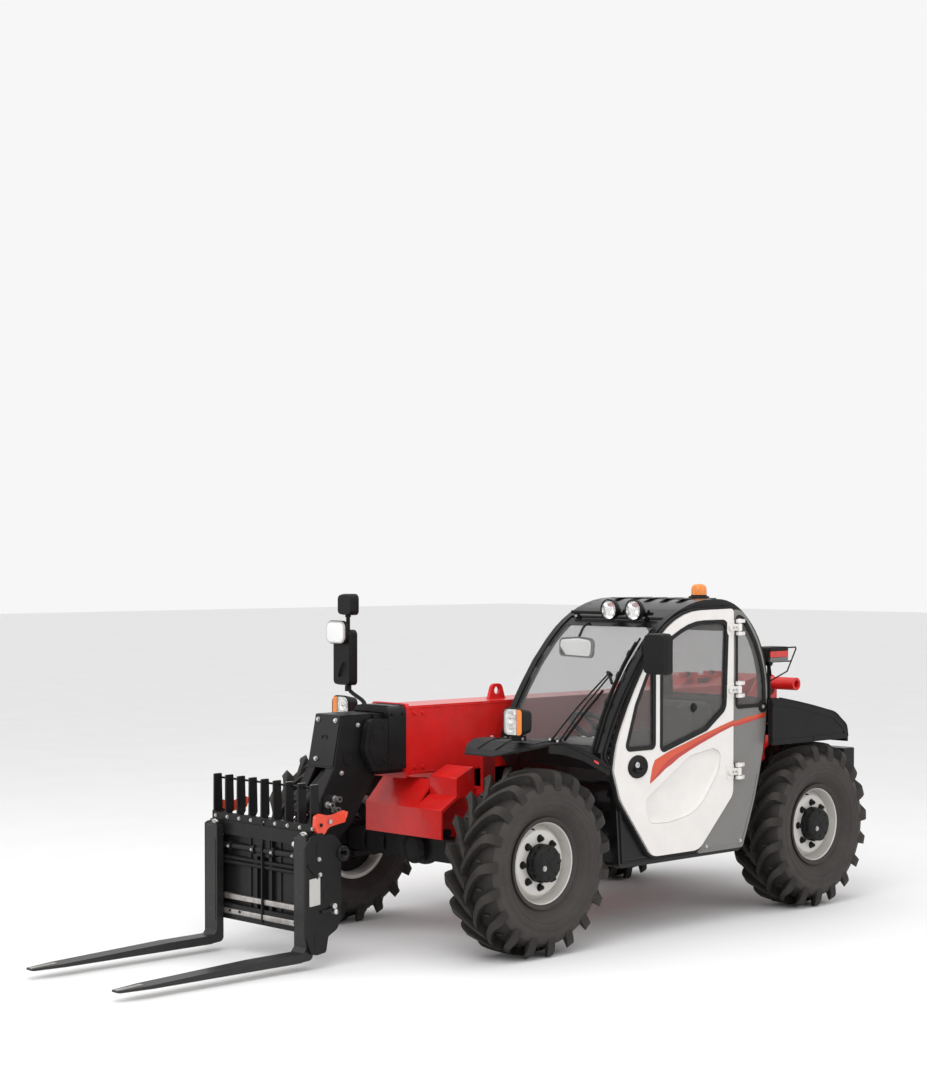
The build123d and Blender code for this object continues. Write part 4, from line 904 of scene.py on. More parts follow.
band(b, QWIN, 8, 832, 852, M_RUBSEAL)
b.prism("xz", [(-1537, 1107), (-1660, 1128), (-1832, 1146), (-1816, 1119), (-1700, 1106), (-1537, 1076)], 850.2, 851.5, M_STRIPE)
b.prism("xz", [(-1537, 1092), (-1700, 1116), (-1814, 1128), (-1808, 1119), (-1700, 1102), (-1537, 1077)], 851.3, 852.1, M_STRIPE2)
b.lathe([(0, 856), (14, 858), (24, 861), (30, 860), (33, 856), (34, 850.2)], (-1796, 0, 1180), (0, 1, 0), M_PLASTIC, seg=40, closed=False)
b.hexbolt((-1796, 858, 1180), (0, 1, 0), 17, 8, M_ZINC)
b.make("mesh_quarter_trim", "chassis", bevel=1.0, seg=2, slot="black_plastic", angle=30)

# frame of the open side and its rubber, frame of the far side
for nm, ya, yb, nd in (("left", 790, 830, "cab_left_frame"), ("right", 60, 100, "cab_right_frame")):
    b = MB()
    b.prism("xz", CAB, ya + 0.4, yb - 0.4, M_CABBLK, holes=[inset(CAB, 47.6)], seg=14)
    if nm == "left":
        b.prism("xz", [(-640, 406), (-861, 406), (-861, 440, 20), (-812, 461, 40), (-641, 690, 60), (-613, 799), (-576, 799), (-591, 600)], 806.5, 828.5, M_BLACK)
        b.prism("xz", [(-1191, 406), (-1191, 440, 20), (-1240, 456, 40), (-1489, 700, 60), (-1494, 759, 20), (-1759, 700), (-1640, 406)], 806.5, 828.5, M_BLACK)
    b.make("mesh_cab_frame_" + nm, "chassis", bevel=11, seg=4, slot="black_paint", replaces=(nd,), angle=40)
b = MB()
o_ = inset(CAB, 47)
i_ = inset(CAB, 60)
b.prism("xz", o_, 800, 812, M_RUBSEAL, holes=[i_], seg=10)
dr = rounded(DOOR, 10)
dr = dr if area2(dr) > 0 else dr[::-1]
da, db = [(offset(dr, k) if abs(area2(offset(dr, k))) > abs(area2(dr)) else offset(dr, -k)) for k in (13, 2.5)]
b.prism("xz", da, 829, 853, M_RUBSEAL, holes=[db])
o_ = inset(CAB, 20)
b.prism("xz", o_, 828, 836.5, M_RUBSEAL, holes=[inset(CAB, 34)], seg=10)
b.make("mesh_cab_seal", "chassis", bevel=2.5, seg=2, slot="black_plastic", angle=40)

# black border printed along the windscreen, and the roof edge
b = MB()


def strip(b, y0, y1, z0, z1, n, off, t, mat, front=True):
    """A thin strip on the curved front or back of the cab."""
    vs, fs = [], []
    for i in range(n + 1):
        z = z0 + (z1 - z0) * i / n
        x0, x1 = cab_x(z - 4, front), cab_x(z + 4, front)
        tv = Vector((x1 - x0, 8)).normalized()
        nv = Vector((tv[1], -tv[0])) if front else Vector((-tv[1], tv[0]))
        x = cab_x(z, front)
        for o in (off, off + t):
            for y in (y0, y1):
                vs.append((x + nv[0] * o, y, z + nv[1] * o))
    for i in range(n):
        a, c = 4 * i, 4 * i + 4
        fs += [(a + 2, a + 3, c + 3, c + 2), (a + 1, a, c, c + 1), (a, a + 2, c + 2, c), (a + 3, a + 1, c + 1, c + 3)]
    fs += [(0, 1, 3, 2), (4 * n, 4 * n + 2, 4 * n + 3, 4 * n + 1)]
    b.add(vs, fs, mat)


for y0, y1 in ((100.5, 122), (768, 789.5)):
    strip(b, y0, y1, 1000, 1690, 26, -8.2, 1.8, M_CABBLK)
    strip(b, y0, y1, 1012, 1640, 20, -8.2, 1.8, M_CABBLK, front=False)
strip(b, 100.5, 789.5, 1002, 1034, 4, -8.2, 1.9, M_CABBLK)
strip(b, 100.5, 789.5, 1655, 1694, 5, -8.2, 1.9, M_CABBLK)
strip(b, 100.5, 789.5, 1012, 1050, 3, -8.2, 1.9, M_CABBLK, front=False)
b.make("mesh_screen_border", "chassis", bevel=0, slot="black_plastic", angle=50)

# wiper: two parallel arms from the scuttle, bracket, blade along the left pillar
b = MB()
J = on_screen(712, 1384, 30)
for yy, zz in ((476, 1034), (535, 1028)):
    a_ = on_screen(yy, zz, 26)
    b.tube([a_, a_ * 0.5 + (J + Vector((0, (yy - 505) * 0.35, 0))) * 0.5 + Vector((8, 0, 6)), J + Vector((0, (yy - 505) * 0.35, 0))], 4.6, M_PLASTIC, seg=10)
    b.cyl(on_screen(yy, zz, -4), on_screen(yy, zz, 34), 13, M_PLASTIC, r2=11, seg=24)
    b.cyl(on_screen(yy, zz, 34), on_screen(yy, zz, 40), 8, M_ZINC, seg=6)
b.tube([on_screen(690, 1396, 30), J, on_screen(760, 1340, 27)], 8, M_PLASTIC, seg=10)
b.cyl(on_screen(716, 1384, 18), on_screen(716, 1384, 44), 13, M_PLASTIC, seg=20)
pts = [on_screen(757 + (1586 - z) * 0.045, z, 16) for z in range(1000, 1600, 40)]
b.tube(pts, 0, M_PLASTIC, flat=(11, 15, (1, 0, 0.6)), smooth=3)
pts = [on_screen(757 + (1586 - z) * 0.045, z, 6) for z in range(990, 1600, 40)]
b.tube(pts, 0, M_RUBSEAL, flat=(3.5, 14, (1, 0, 0.6)), smooth=3)
for z in (1120, 1250, 1390, 1500):
    p = on_screen(757 + (1586 - z) * 0.045, z, 20)
    b.box(p.x - 8, p.x + 8, p.y - 9, p.y + 9, p.z - 16, p.z + 16, M_PLASTIC, R=Matrix.Rotation(math.radians(-35), 3, "Y"))
# second blade low on the screen
pts = [on_screen(560 + (z - 1040) * 0.55, z, 16) for z in range(1040, 1340, 30)]
b.tube(pts, 0, M_PLASTIC, flat=(9, 12, (1, 0, 0.6)), smooth=3)
# washer jet
b.sphere(on_screen(300, 1012, 8), 9, M_PLASTIC, seg=16, rings=8)
b.make("mesh_wipers", "chassis", bevel=0.8, seg=1, slot="black_plastic", angle=40)

# roof skin with its ribs and the edge over the screen
b = MB()
roof = [(-975, 1640)] + [(x, z) for x, z in CAB_O if -1745 < x < -965 and z > 1560]
roof = sorted(roof[1:], key=lambda q: -q[0])
outer = [(q[0], q[1]) for q in roof]
inner = [(q[0] * 0.985 - 20, q[1] - 32) for q in roof][::-1]
b.prism("xz", outer + inner, 100.6, 789.4, M_CABBLK)
for yy in (210, 330, 450, 570, 690):
    zr = 1802.5
    b.prism("xy", [(-1560, yy - 26, 20), (-1235, yy - 26, 20), (-1235, yy + 26, 20), (-1560, yy + 26, 20)], 1797, zr, M_CABBLK)
b.make("mesh_cab_roof", "chassis", bevel=3, seg=2, slot="black_paint", replaces=("cab_roof",), angle=30)

# interior mirror and sun strip seen through the screen, grab bar
b = MB()
b.prism("yz", [(150, 1478, 22), (400, 1470, 30), (410, 1580, 34), (300, 1590, 30), (150, 1580, 30)], -868, -850, M_LINING)
b.prism("yz", [(162, 1488, 18), (388, 1481, 24), (398, 1570, 28), (300, 1580, 26), (162, 1570, 24)], -850, -847, M_REFL)
b.tube([(-860, 290, 1580), (-900, 290, 1640), (-950, 290, 1668)], 7, M_PLASTIC)
b.tube([(-640, 770, 1030), (-700, 772, 1180), (-800, 772, 1330)], 12, M_PLASTIC, seg=14)
b.make("mesh_cab_mirror", "chassis", bevel=2, seg=2, slot="black_plastic", angle=30)
# ---------------------------------------------------------------- head of the boom
BY = -130.0
b = MB()
# front cover plate with rounded top corners, three bolts, a slot and the raised edges of the side plates
PX = lambda z: 610.5 + (1205 - z) * 57 / 273.0          # front face of the cover plate
b.prism("xz", [(PX(1206) - 1, 1206), (PX(1206) + 4, 1206, 3), (PX(940) + 4, 940, 3), (PX(940) - 1, 940)], BY - 98, BY + 98, M_BLACK)
b.prism("xz", [(399, 1196), (399, 1207, 4), (601, 1207, 4), (606, 1196)], BY - 104, BY + 104, M_BLACK)
for yy, zz in ((BY + 70, 1178), (BY - 70, 1178), (BY - 40, 975)):
    p = Vector((PX(zz) + 4, yy, zz))
    b.cyl(p, p + Vector((3, 0, 0.6)), 13, M_ZINC, seg=24)
    b.hexbolt(p + Vector((3, 0, 0.6)), (0.98, 0, 0.2), 17, 10, M_ZINC)
b.prism("yz", [(BY - 22, 1060, 9), (BY + 22, 1060, 9), (BY + 22, 1100, 9), (BY - 22, 1100, 9)], PX(1080) + 1, PX(1080) + 5.5, M_AXLE, holes=[[(BY - 15, 1066, 7), (BY + 15, 1066, 7), (BY + 15, 1094, 7), (BY - 15, 1094, 7)]])
for sy in (1, -1):
    y0 = BY + sy * 105
    e = [(612, 1196), (668, 934), (768, 762), (1002, 452)]
    b.tube([(q[0] - 6, y0 - sy * 3, q[1]) for q in e], 5, M_BLACK, seg=8, smooth=0)
    # pin ends with keeper plates: tilt cylinder base and carriage pivot
    for (cx, cz, rr) in ((430, 1060, 34), (940, 400, 44)):
        yb = y0 if cx == 430 else BY + sy * 135
        b.lathe([(0, 9), (rr * 0.55, 9), (rr * 0.8, 7.5), (rr, 4), (rr, 0)], (cx, yb, cz), (0, sy, 0), M_BLACK, seg=40, closed=False)
        b.cyl((cx, yb, cz), (cx, yb + sy * 12, cz), rr * 0.42, M_ZINC, seg=24)
        b.hexbolt((cx + rr * 0.95, yb, cz + rr * 0.55), (0, sy, 0), 14, 8, M_ZINC)
        b.box(cx + rr * 0.2, cx + rr * 1.25, *sorted((yb, yb + sy * 5)), cz + rr * 0.30, cz + rr * 0.80, M_BLACK)
    b.cyl((560, y0, 985), (560, y0 + sy * 5, 985), 42, M_BLACK, seg=40, inner=30)
    b.hexbolt((500, y0, 1150), (0, sy, 0), 18, 10, M_ZINC)
    b.hexbolt((612, y0, 905), (0, sy, 0), 18, 10, M_ZINC)
    b.hexbolt((820, y0, 600), (0, sy, 0), 18, 10, M_ZINC)
# the auxiliary couplers and their bracket on the left of the head
b.box(640, 742, BY + 106, BY + 112, 690, 800, M_BLACK)
for xx, zz in ((668, 776), (716, 748), (676, 722)):
    b.cyl((xx, BY + 112, zz), (xx, BY + 122, zz), 19, M_ZINC, seg=6)
    b.cyl((xx, BY + 122, zz), (xx, BY + 150, zz), 14.5, M_ZINC, seg=28)
    b.cyl((xx, BY + 150, zz), (xx, BY + 158, zz), 16.5, M_STEEL, seg=28, inner=9)
    b.cyl((xx, BY + 150, zz), (xx, BY + 153, zz), 9.5, M_RUBSEAL, seg=20)
b.make("mesh_head_fittings", "boom_extension", bevel=1.2, seg=2, slot="black_paint", angle=30)

# hoop and side cover over the hoses
b = MB()
b.prism("yz", [(-255.5, 906), (-255.5, 1242.5, 50), (29.5, 1242.5, 50), (29.5, 906)], 205.5, 329.5, M_BLACK, holes=[[(-251.2, 900), (-251.2, 1209.5, 4), (-9.2, 1209.5, 4), (-9.2, 900)]], seg=10)
b.prism("xz", [(331, 906, 8), (331, 1179, 8), (469, 1179, 40), (499, 1020, 30), (440, 906, 30)], BY + 120, BY + 157.5, M_BLACK, seg=10)
b.prism("xz", [(348, 940, 16), (348, 1150, 16), (448, 1150, 30), (470, 1022, 24), (424, 940, 20)], BY + 157, BY + 160.5, M_BLACK, seg=10)
for xx, zz in ((228, 930), (228, 1200), (307, 930), (307, 1200), (365, 960), (365, 1132), (440, 1100)):
    b.hexbolt((xx, BY + (159.5 if xx < 340 else 160.5), zz), (0, 1, 0), 13, 7, M_BLACK)
for xx in (214, 321):
    b.tube([(xx, -200, 1243.5), (xx, 20, 1243.5)], 3, M_BLACK, seg=8, smooth=0)
b.make("mesh_hoop", "boom_extension", bevel=2.2, seg=2, slot="black_paint", replaces=("hose_cover",), angle=30)

# boom: front flange rim with bolts, wear-pad screws, side seams, the pin end at the rear and the lifting eye's weld
b = MB()
b.prism("yz", [(-271, 848, 26), (11, 848, 26), (11, 1250, 26), (-271, 1250, 26)], 163, 189, M_RED, holes=[[(-245, 880, 8), (-15, 880, 8), (-15, 1220, 8), (-245, 1220, 8)]], seg=8)
for yy in (-258, -2):
    for zz in (900, 990, 1110, 1200):
        b.hexbolt((189, yy, zz), (1, 0, 0), 13, 7, M_RED)
for zz in (905, 1195):
    for xx in (60, 120):
        for sy, y0 in ((1, 0.0), (-1, -260.0)):
            b.cyl((xx, y0, zz), (xx, y0 + sy * 4, zz), 13, M_RED, seg=24)
            b.hexbolt((xx, y0 + sy * 4, zz), (0, sy, 0), 15, 8, M_RED)
for sy, y0 in ((1, 0.0), (-1, -260.0)):
    for xx in (-1500, -900, -300):
        b.prism("xz", [(xx - 34, 1180, 12), (xx + 34, 1180, 12), (xx + 34, 1206, 12), (xx - 34, 1206, 12)], *sorted((y0, y0 + sy * 2.2)), M_RED)
    b.tube([(150, y0 + sy * 0.6, 1224), (-2640, y0 + sy * 0.6, 1224)], 2.6, M_RED, seg=8, smooth=0)
    b.tube([(150, y0 + sy * 0.6, 877), (-2040, y0 + sy * 0.6, 877), (-2690, y0 + sy * 0.6, 996)], 2.6, M_RED, seg=8, smooth=0)
    b.lathe([(0, 10), (26, 10), (44, 8), (52, 4), (52, 0)], (-2880, y0, 1200), (0, sy, 0), M_BLACK, seg=48, closed=False)
    b.lathe([(88, 0), (88, 2.5), (70, 4), (60, 2.5), (60, 0)], (-2880, y0, 1200), (0, sy, 0), M_RED, seg=60, closed=True)
# slide pads showing between the two sections
for yy0, yy1 in ((-112 - 125, -112 - 60), (-148 + 60, -148 + 125)):
    b.box(178, 196, yy0, yy1, 1221.5, 1229, M_PALE_PLATE)
b.tube([(-692, BY - 10, 1236), (-558, BY - 10, 1236), (-558, BY + 10, 1236), (-692, BY + 10, 1236)], 3.4, M_RED, seg=8, smooth=0, closed=True)
b.make("mesh_boom_trim", "boom", bevel=1.6, seg=2, slot="body_red", angle=30)

# ---------------------------------------------------------------- carriage, backrest, forks
b = MB()
# tool lock: long shaft and its collars, the latch handles at both ends
for z_, r_, m_ in ((532, 17, M_BLACK), (470, 11, M_AXLE), (446, 11, M_AXLE)):
    b.cyl((1046, -540, z_), (1046, 292, z_), r_, m_, seg=24)
for yy in (-500, -404, -210, -50, 120, 252):
    b.cyl((1046, yy, 532), (1046, yy + 22, 532), 25, M_BLACK, seg=28)
    b.hexbolt((1046 + 24, yy + 11, 532), (1, 0, 0), 11, 8, M_ZINC)
for yy in (-470, 130):
    b.hexbolt((1052, yy, 590), (1, 0, 0.2), 22, 14, M_ZINC)
# bright lower bars
b.prism("xz", [(1032, 252, 5), (1056, 252, 5), (1056, 282, 5), (1032, 282, 5)], -470, 286, M_WORN_STEEL_AND_HIGHLIGHT)
b.prism("xz", [(1030, 176, 6), (1063, 176, 6), (1063, 206, 6), (1030, 206, 6)], -470, 286, M_WORN_STEEL_AND_HIGHLIGHT)
for yy in (150, 205, 255, -300, -380):
    b.box(1062, 1066, yy - 16, yy - 2, 190, 202, M_AXLE)
# centre rib, with the slanted shoulder
b.prism("xz", [(990, 150), (1066, 150, 20), (1066, 560, 6), (1052, 640, 6), (1072, 690, 6), (1034, 690, 6), (1034, 450, 10), (990, 420)], -128, -118, M_BLACK)
b.box(1000, 1012, -520, 270, 300, 306, M_BLACK)
for yy in (-420, -330, 60, 160):
    b.prism("xz", [(984, 230), (1030, 230, 8), (1030, 588, 8), (984, 588)], yy - 5, yy + 5, M_BLACK)
# left end plate: thick rim, ring boss, slot, bolts, blank plate, stops
LP = 310.0
b.lathe([(20, 0), (20, 8), (26, 11), (33, 11), (37, 7), (37, 0)], (893, LP + 5, 548), (0, 1, 0), M_BLACK, seg=48, closed=True)
b.prism("xz", [(1044, 548, 9), (1062, 548, 9), (1062, 610, 9), (1044, 610, 9)], LP - 0.4, LP + 2.4, M_AXLE)
b.prism("xz", [(1116, 512), (1052, 440, 6), (1058, 432, 4), (1120, 500)], LP, LP + 5, M_AXLE)
b.prism("xz", [(1108, 300, 4), (1040, 306, 4), (1040, 442, 4), (1108, 436, 4)], LP, LP + 3, M_PALE_PLATE)
for xx, zz in ((1046, 532), (1040, 455)):
    b.cyl((xx, LP, zz), (xx, LP + 3, zz), 11, M_ZINC, seg=24)
    b.hexbolt((xx, LP + 3, zz), (0, 1, 0), 15, 9, M_ZINC)
b.prism("xz", [(1010, 300, 14), (960, 318, 24), (940, 380, 20), (985, 398, 20), (1022, 372, 20)], LP - 0.5, LP + 1.8, M_AXLE)
b.tube([(1036, LP + 6, 268), (985, LP + 10, 272), (962, LP + 12, 284)], 8, M_BLACK, seg=12)
b.cyl((962, LP + 1, 292), (962, LP + 24, 292), 14, M_STEEL, seg=28)
b.cyl((950, LP + 1, 262), (950, LP + 20, 262), 18, M_STEEL, r2=14, seg=28)
b.sphere((950, LP + 20, 262), 13, M_STEEL, seg=20, rings=10, sc=(1, 0.5, 1))
b.prism("xz", [(1066, 70, 8), (1080, 130, 8), (1066, 190, 8), (1056, 130, 8)], LP - 0.5, LP + 1.6, M_AXLE)
# right end plate: its oval hole, with a rim, is painted as a pale plate that stands in for the light showing through it
RP = -546.0
b.lathe([(20, 0), (20, 6), (30, 8), (37, 6), (37, 0)], (893, RP - 16, 548), (0, -1, 0), M_BLACK, seg=48, closed=True)
# pale oval plate: painted light in place of the bright view through the end plate's hole
b.prism("xz", [(1040, 596, 16), (1072, 596, 16), (1072, 640, 16), (1040, 640, 16)], RP, RP + 3, M_PALE_PLATE)
b.cyl((1010, RP, 560), (1010, RP + 40, 560), 20, M_ZINC, seg=28)
b.cyl((1060, RP, 520), (1060, RP + 26, 520), 15, M_ZINC, seg=28)
b.prism("yz", [(-500, 440, 4), (-484, 500, 6), (-496, 502, 6), (-506, 440, 4)], 1040, 1048, M_STEEL)
b.make("mesh_carriage_parts", "carriage_body", bevel=1.4, seg=2, slot="black_paint", angle=30)

b = MB()
for y0, xs in ((300, 0), (-552, -40)):
    yc = y0
    lev = [(850, 742, 12), (862, 768, 14), (960, 744, -1), (1030, 762, 18), (1062, 752, 20), (1066, 700, 20), (1050, 664, 22), (1005, 656, 24), (962, 690, 40), (905, 700, -1), (858, 706, 12)]
    b.prism("xz", [(q[0] + xs, q[1] - 6, q[2]) for q in lev], yc - 16, yc - 6, M_ORANGE, seg=8)
    b.prism("xz", [(q[0] + xs, q[1] - 6, q[2]) for q in lev[3:8] + [(990, 672, 12), (990, 742, 12)]], yc - 6, yc + 4, M_ORANGE, seg=8)
    b.tube([(856 + xs, yc - 11, 722), (848 + xs, yc - 11, 752)], 9, M_ORANGE, seg=14, smooth=0)
    b.cyl((1030 + xs, yc + 3, 700), (1030 + xs, yc + 8, 700), 17, M_ORANGE, seg=28)
    b.hexbolt((1030 + xs, yc + 8, 700), (0, 1, 0), 14, 7, M_AXLE)
    b.cyl((965 + xs, yc - 6, 712), (965 + xs, yc + 6, 712), 11, M_STEEL, seg=24)
    b.box(1006 + xs, 1046 + xs, yc - 20, yc - 4, 636, 690, M_BLACK)
b.make("mesh_latches", "carriage_body", bevel=2.2, seg=2, slot="body_red", angle=30)

# backrest: nine upright plates with a painted highlight (a pale steel strip) along their top edges, foot bar with bolts
b = MB()
b.box(1030, 1055, BY - 420, BY + 396, 661, 699, M_BLACK)
for i in range(9):
    yc = BY - 411 + i * 99.0
    b.prism("xz", [(1031, 664), (1052, 664, 6), (1050, 896.5, 5), (1002.5, 896.5, 5), (998, 716, 12), (1014, 690, 8)], yc - 5.6, yc + 5.6, M_BLACK)
    # pale strip on each plate's top edge: painted highlight
    b.prism("xz", [(1004, 894), (1048, 894), (1048, 897.4, 1), (1004, 897.4, 1)], yc - 4.8, yc + 4.8, M_WORN_STEEL_AND_HIGHLIGHT)
    b.prism("xy", [(1014, yc - 16, 4), (1052, yc - 16, 4), (1052, yc + 16, 4), (1014, yc + 16, 4)], 699, 704, M_BLACK)
    b.hexbolt((1055, yc + 22, 680), (1, 0, 0), 14, 8, M_ZINC)
b.box(1004, 1014, BY - 414, BY + 384, 870, 880, M_BLACK)
b.make("mesh_backrest", "carriage_body", bevel=1.4, seg=2, slot="black_paint", replaces=("backrest",), angle=30)

# forks: worn heels and tips, locking screws, hooks
b = MB()
for fy in (-487.0, 240.0):
    b.prism("xy", [(1135, fy - 45), (2020, fy - 45), (2196, fy - 24, 6), (2206, fy, 6), (2196, fy + 24, 6), (2020, fy + 45), (1135, fy + 45)], 20.8, 22.4, M_WORN_STEEL_AND_HIGHLIGHT)
    b.prism("xz", [(2060, 25.5), (2204, 26), (2209, 30), (2204, 35.5), (2060, 42)], fy - 15, fy + 15, M_WORN_STEEL_AND_HIGHLIGHT)
    b.prism("xz", [(1110.4, 140, 0), (1112, 150, 0), (1112, 560, 0), (1110.4, 570, 0)], fy - 36, fy + 36, M_FORK)
    b.cyl((1085, fy, 638), (1085, fy, 655), 13, M_ZINC, seg=24)
    b.tube([(1085, fy - 24, 654), (1085, fy, 662), (1085, fy + 24, 654)], 5, M_ZINC, seg=10)
    b.prism("xz", [(1061, 632, 3), (1104, 632, 3), (1104, 648, 6), (1061, 648, 6)], fy - 34, fy + 34, M_FORK)
b.make("mesh_fork_parts", "carriage_body", bevel=1.0, seg=1, slot="fork_steel", angle=30)

# cylinders: gland nuts, end caps, ports with their steel pipes held to the barrels
def cyl_trim(name, a, c, ro, ln_end, body_b, body_r, rr):
    A, C = Vector((a[0], BY, a[1])), Vector((c[0], BY, c[1]))
    d = (C - A).normalized()
    q = MB()
    q.cyl(A + d * (ln_end - 34), A + d * (ln_end + 1), ro + 4, M_BLACK, seg=40, inner=rr + 2)
    q.cyl(A + d * (ln_end + 1), A + d * (ln_end + 7), ro - 4, M_BLACK, seg=40, inner=rr + 1.2)
    q.cyl(A + d * 52, A + d * 74, ro + 4, M_BLACK, seg=40, inner=ro - 3)
    n = Vector((d.z, 0, -d.x))
    for s_ in (0.16, ln_end - 60):
        t_ = A + d * (90 if s_ == 0.16 else s_)
        q.cyl(t_ + n * (ro - 3), t_ + n * (ro + 14), 11, M_BLACK, seg=20)
        q.hexbolt(t_ + n * (ro + 14), n, 16, 9, M_ZINC)
    t0, t1 = A + d * 90 + n * (ro + 16), A + d * (ln_end - 60) + n * (ro + 16)
    q.tube([t0, t0 + d * 10 + n * 2, t1 - d * 10 + n * 2, t1], 5, M_ZINC, seg=10, smooth=0)
    q.make("mesh_" + name, body_b, bevel=1.2, seg=2, slot="black_paint", angle=30)
    g = MB()
    g.cyl(C - d * 50, C - d * 28, rr + 5, M_BLACK, r2=rr + 9, seg=32)
    g.cyl(C + Vector((0, 22, 0)), C + Vector((0, 25, 0)), 20 if rr < 24 else 26, M_BLACK, seg=32, inner=12)
    g.make("mesh_" + name + "_rod", body_r, bevel=1.0, seg=2, slot="black_paint", angle=30)


L_ = math.hypot(-1980 + 2780, 780 - 750)
T_ = math.hypot(982 - 430, 570 - 1060)
cyl_trim("lift_trim", (-2780, 750), (-1980, 780), 48, L_ - 150, "lift_cylinder", "lift_piston", 28)
cyl_trim("tilt_trim", (430, 1060), (982, 570), 36, T_ - 190, "tilt_cylinder", "tilt_piston", 20)
# ---------------------------------------------------------------- lamps and mirrors
b = MB()
for s in (1, -1):
    y0, y1 = sorted((s * 614, s * 756))
    # shell: a round-cornered box that narrows to the back
    cy_, cz_ = s * 685, 1182
    b.prism("yz", [(y0, 1108, 34), (y1, 1108, 34), (y1, 1256, 42), (y0, 1256, 42)], 50, -28, M_PLASTIC, seg=10, top=lambda q: (cy_ + (q[0] - cy_) * 0.72, cz_ + (q[1] - cz_) * 0.80))
    b.prism("yz", [(y0, 1108, 34), (y1, 1108, 34), (y1, 1256, 42), (y0, 1256, 42)], 49.5, 58, M_PLASTIC, seg=10,
            holes=[[(y0 + 7, 1115, 29), (y1 - 7, 1115, 29), (y1 - 7, 1249, 36), (y0 + 7, 1249, 36)]])
    ys = s * 712                                                     # silver bowl inside, amber part outside
    ya, yb = sorted((s * 621.5, ys - s * 1.5))
    yc, yd = sorted((ys + s * 1.5, s * 748.5))
    ro = 26
    silver = [(ya, 1116, ro if s > 0 else 3), (yb, 1116, 3 if s > 0 else ro), (yb, 1248, 3 if s > 0 else ro), (ya, 1248, ro if s > 0 else 3)]
    amber = [(yc, 1116, 3 if s > 0 else ro), (yd, 1116, ro if s > 0 else 3), (yd, 1248, ro if s > 0 else 3), (yc, 1248, 3 if s > 0 else ro)]
    b.prism("yz", silver, 51, 53, M_REFL, seg=8)
    b.prism("yz", amber, 51, 59, M_AMBER, seg=8)
    b.prism("yz", [(ys - 1.5, 1116), (ys + 1.5, 1116), (ys + 1.5, 1248), (ys - 1.5, 1248)], 51, 58.5, M_PLASTIC)
    cm = (ya + yb) / 2
    for zz, rr in ((1204, 34), (1148, 25)):
        b.lathe([(rr * 0.25, 52.5), (rr * 0.6, 53.2), (rr * 0.88, 56.5), (rr, 59), (rr * 1.06, 59), (rr * 1.1, 53)], (0, cm, zz), (1, 0, 0), M_REFL, seg=48, closed=False)
        b.sphere((55.5, cm, zz), rr * 0.26, M_ZINC, seg=20, rings=10)
    for k in range(9):
        yy = ya + 8 + k * (yb - ya - 16) / 8
        b.box(59.4, 60.1, yy - 0.7, yy + 0.7, 1122, 1242, M_LENS)
    b.prism("yz", silver, 59.2, 60.2, M_LENS, seg=8)
    for k in range(8):
        zz = 1126 + k * 15
        b.box(58.6, 60.4, yc + 3, yd - 3, zz, zz + 2.4, M_AMBER)
    # foot: block, pivot bolt
    b.box(-16, 44, s * 685 - 24, s * 685 + 24, 1082, 1110, M_PLASTIC)
    b.cyl((15, s * 685 - 30, 1094), (15, s * 685 + 30, 1094), 8, M_ZINC, seg=6)
b.make("mesh_headlights", "chassis", bevel=2.2, seg=2, slot="black_plastic", replaces=("headlights",), angle=30)

# front fenders: edge lips, ribs, struts with bolts, small red reflectors
b = MB()
FT = [(150, 1006), (100, 1036), (0, 1073), (-55, 1078), (-110, 1076), (-250, 1034), (-400, 957), (-455, 924)]
for s in (1, -1):
    pts = [(q[0], s * (898 if q[0] < -60 else 898 - (q[0] + 60) * 0.9), q[1] - 1) for q in FT if q[0] < 60]
    b.tube(pts, 4.5, M_PLASTIC, seg=10, smooth=4)
    for yy in (470, 600, 800):
        b.tube([(q[0], s * yy, q[1] + 0.5) for q in FT if -430 < q[0] < (20 if yy > 700 else 110)], 3.2, M_PLASTIC, seg=8, smooth=4)
    b.prism("xz", [(-452, 918, 3), (-446, 934, 3), (-456, 940, 3), (-459, 912, 3)], s * 615 - 283 if s > 0 else -898, s * 615 + 283 if s > 0 else -332, M_PLASTIC)
    # strut to the chassis under the fender
    b.tube([(-110, s * 330, 1052), (-110, s * 330, 1062), (-110, s * 560, 1058)], 0, M_BLACK, flat=(52, 7, (0, 0, 1)), smooth=0)
    for yy in (360, 460, 560):
        b.hexbolt((-110, s * yy, 1076.5 if yy > 0 else 1076), (0, 0, 1), 15, 6, M_ZINC)
    # red reflector in the red lens finish: its faint emission is a painted glow
    b.prism("xz", [(-360, 948, 5), (-326, 966, 5), (-332, 982, 5), (-368, 962, 5)], *sorted((s * 896.5, s * 899.5)), M_REDLENS)
b.make("mesh_fender_front", "chassis", bevel=1.2, seg=2, slot="black_plastic", angle=35)

# left mirror: black shell, glass to the rear, bracket on the pillar
b = MB()
b.prism("yz", [(926, 1410, 26), (1083, 1410, 26), (1083, 1629, 34), (926, 1629, 34)], -739, -702, M_PLASTIC, seg=10)
b.prism("yz", [(926, 1410, 26), (1083, 1410, 26), (1083, 1629, 34), (926, 1629, 34)], -702, -675, M_PLASTIC, seg=10, top=lambda q: ((q[0] - 1004) * 0.90 + 1004, (q[1] - 1519) * 0.94 + 1519))
b.prism("yz", [(936, 1420, 20), (1073, 1420, 20), (1073, 1619, 26), (936, 1619, 26)], -742, -739, M_REFL, seg=10)
b.tube([(-800, 829, 1540), (-770, 862, 1541), (-726, 922, 1545), (-716, 952, 1545)], 9, M_PLASTIC, seg=14)
b.box(-822, -776, 828, 836, 1512, 1568, M_PLASTIC)
for zz in (1522, 1558):
    b.hexbolt((-800, 836, zz), (0, 1, 0), 12, 6, M_ZINC)
b.sphere((-722, 944, 1545), 20, M_PLASTIC, seg=20, rings=10)
b.make("mesh_mirror_left", "chassis", bevel=2.0, seg=2, slot="black_plastic", replaces=("mirror_left",), angle=30)

